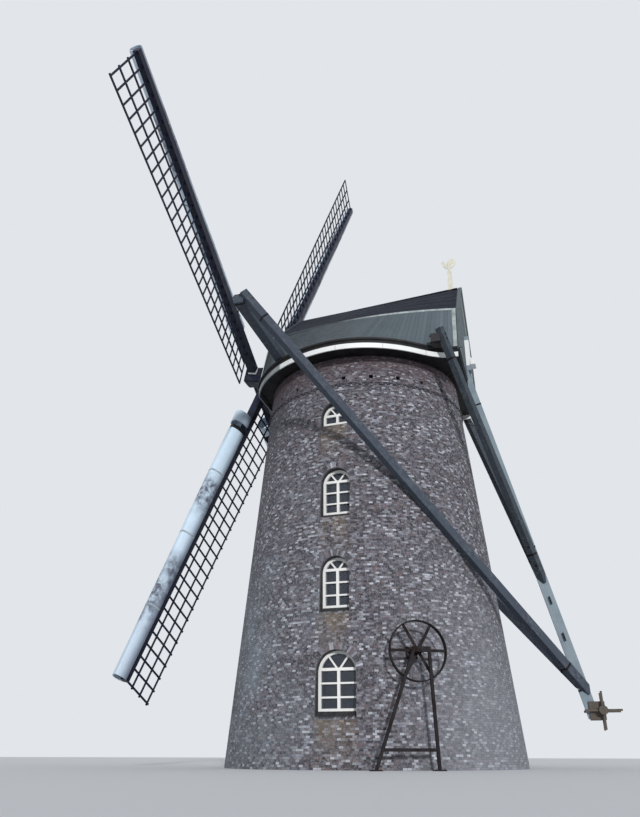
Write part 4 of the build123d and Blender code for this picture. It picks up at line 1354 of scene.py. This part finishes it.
# The door on the far side: upright tongued boards painted dark green, hung on two strap hinges, with
# a ring handle.
hinge_levels = (0.75, 2.05)
hinge_aside = 0.09
hinge_length = 0.85
hinge_width = 0.065
hinge_thickness = 0.01
hinge_bolt_reaches = (0.1, 0.4, 0.7)
hinge_bolt_radius = 0.012
ring_half = 0.055
ring_bar_half = 0.009
ring_level = 1.25
ring_aside = 0.14
ring_proud = 0.02

door_paint = Finish("dark_green_door_paint", 0.5)
fibre = use(door_paint, grain, (0.0, 0.0, 1.0))
boards = use(door_paint, board_rows, object_axes(door_paint)["Y"], 0.145, 0.004)
colour = lay(
    door_paint, (0.02, 0.055, 0.036),
    (boards["Tone"], 0.4, (0.03, 0.075, 0.05)),
    (mask(door_paint, clouds, 5.0, 0.55, 0.75), 0.5, (0.08, 0.09, 0.075)),
    (boards["Seam"], 1.0, (0.006, 0.01, 0.008)))
coat(door_paint, colour, door_paint.math("SUBTRACT", fibre["Height"], boards["Seam"]), 0.004)
dress(door_paint, "door_leaf", "door_frame")

leaf_low, leaf_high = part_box("door_leaf")
parts = []
for level in hinge_levels:
    start = Vector((leaf_low.x - hinge_thickness / 2, leaf_low.y + hinge_aside, level))
    parts.append(straight_board(
        start, start + tailward * hinge_length, rightward, upward, hinge_thickness, hinge_width))
    bm = bmesh.new()
    for reach in hinge_bolt_reaches:
        spot = start + tailward * reach - rightward * hinge_thickness / 2
        add_bolt(bm, spot, -rightward, hinge_bolt_radius)
    parts.append(bm)
ring = bmesh.new()
bmesh.ops.create_circle(
    ring, segments=10, radius=ring_bar_half,
    matrix=Matrix.Translation(rightward * ring_half) @ Matrix.Rotation(math.pi / 2, 4, "X"))
bmesh.ops.spin(ring, geom=ring.verts[:] + ring.edges[:], cent=(0, 0, 0), axis=upward,
               angle=2 * math.pi, steps=24, use_merge=True)
bmesh.ops.recalc_face_normals(ring, faces=ring.faces)
handle = Matrix.Translation((leaf_low.x - ring_proud, leaf_high.y - ring_aside, ring_level))
bmesh.ops.transform(ring, verts=ring.verts, matrix=handle @ Matrix.Rotation(math.pi / 2, 4, "Y"))
parts.append(ring)
finish_piece("door_ironwork", gather(parts), "black_iron", "tower", black_iron)


# The belt pulley and its iron trestle, painted black and rusting, with bolted foot plates and
# bearing caps.
pulley_centre = Vector(joints["pulley_turn"]["pos_m"])
pulley_out = Vector(joints["pulley_turn"]["axis"]).normalized()
pulley_side = pulley_out.cross(upward)
stand_middle = 5.075
stand_face = 5.11
leg_feet = (1.25, -0.3)
plate_half = 0.14
plate_depth = 0.2
plate_thickness = 0.024
plate_bolt = (0.1, 0.065, 0.016)
cap_bolt_asides = (-0.15, 0.13)
cap_bolt_lift = 0.03
cap_bolt_radius = 0.014
hub_bolts = 6
hub_bolt_circle = 0.07
hub_bolt_out = 0.12
hub_bolt_radius = 0.012

dress(black_iron, "pulley", "pulley_stand", "wall_bearing")
parts = []
bolts = bmesh.new()
for foot in leg_feet:
    middle = pulley_out * stand_middle + pulley_side * foot + upward * plate_thickness / 2
    reach = pulley_side * plate_half
    parts.append(straight_board(middle - reach, middle + reach, pulley_out, upward, plate_depth, plate_thickness))
    aside, forward, radius = plate_bolt
    for side in (-1, 1):
        spot = middle + pulley_side * side * aside + upward * plate_thickness / 2 + pulley_out * forward
        add_bolt(bolts, spot, upward, radius)
for aside in cap_bolt_asides:
    for lift in (-cap_bolt_lift, cap_bolt_lift):
        spot = pulley_out * stand_face + pulley_side * aside + upward * (pulley_centre.z + lift)
        add_bolt(bolts, spot, pulley_out, cap_bolt_radius)
parts.append(bolts)
finish_piece("stand_plates", gather(parts), "black_iron", "tower", black_iron, ease=0.002)
bm = bmesh.new()
for number in range(hub_bolts):
    angle = 2 * math.pi * (number + 0.5) / hub_bolts
    arm = upward * math.cos(angle) + pulley_side * math.sin(angle)
    add_bolt(bm, pulley_centre + arm * hub_bolt_circle + pulley_out * hub_bolt_out, pulley_out, hub_bolt_radius)
finish_piece("pulley_hub_bolts", bm, "black_iron", "pulley", black_iron)


# The weathercock: a bird cut from sheet metal on a sleeve that turns on the post's rod, all in
# cream paint gone grey.
cock_paint = Finish("cream_cock_paint", 0.5)
dirt = mask(cock_paint, clouds, 7.0, 0.4, 0.7)
colour = lay(
    cock_paint, (0.76, 0.73, 0.61),
    (dirt, 0.4, (0.47, 0.46, 0.4)),
    (mask(cock_paint, streaks, 22.0, 3.0, 0.45, 0.72), 0.4, (0.34, 0.34, 0.32)))
dress(coat(cock_paint, colour, dirt, 0.001), "weathercock", "cock_post")
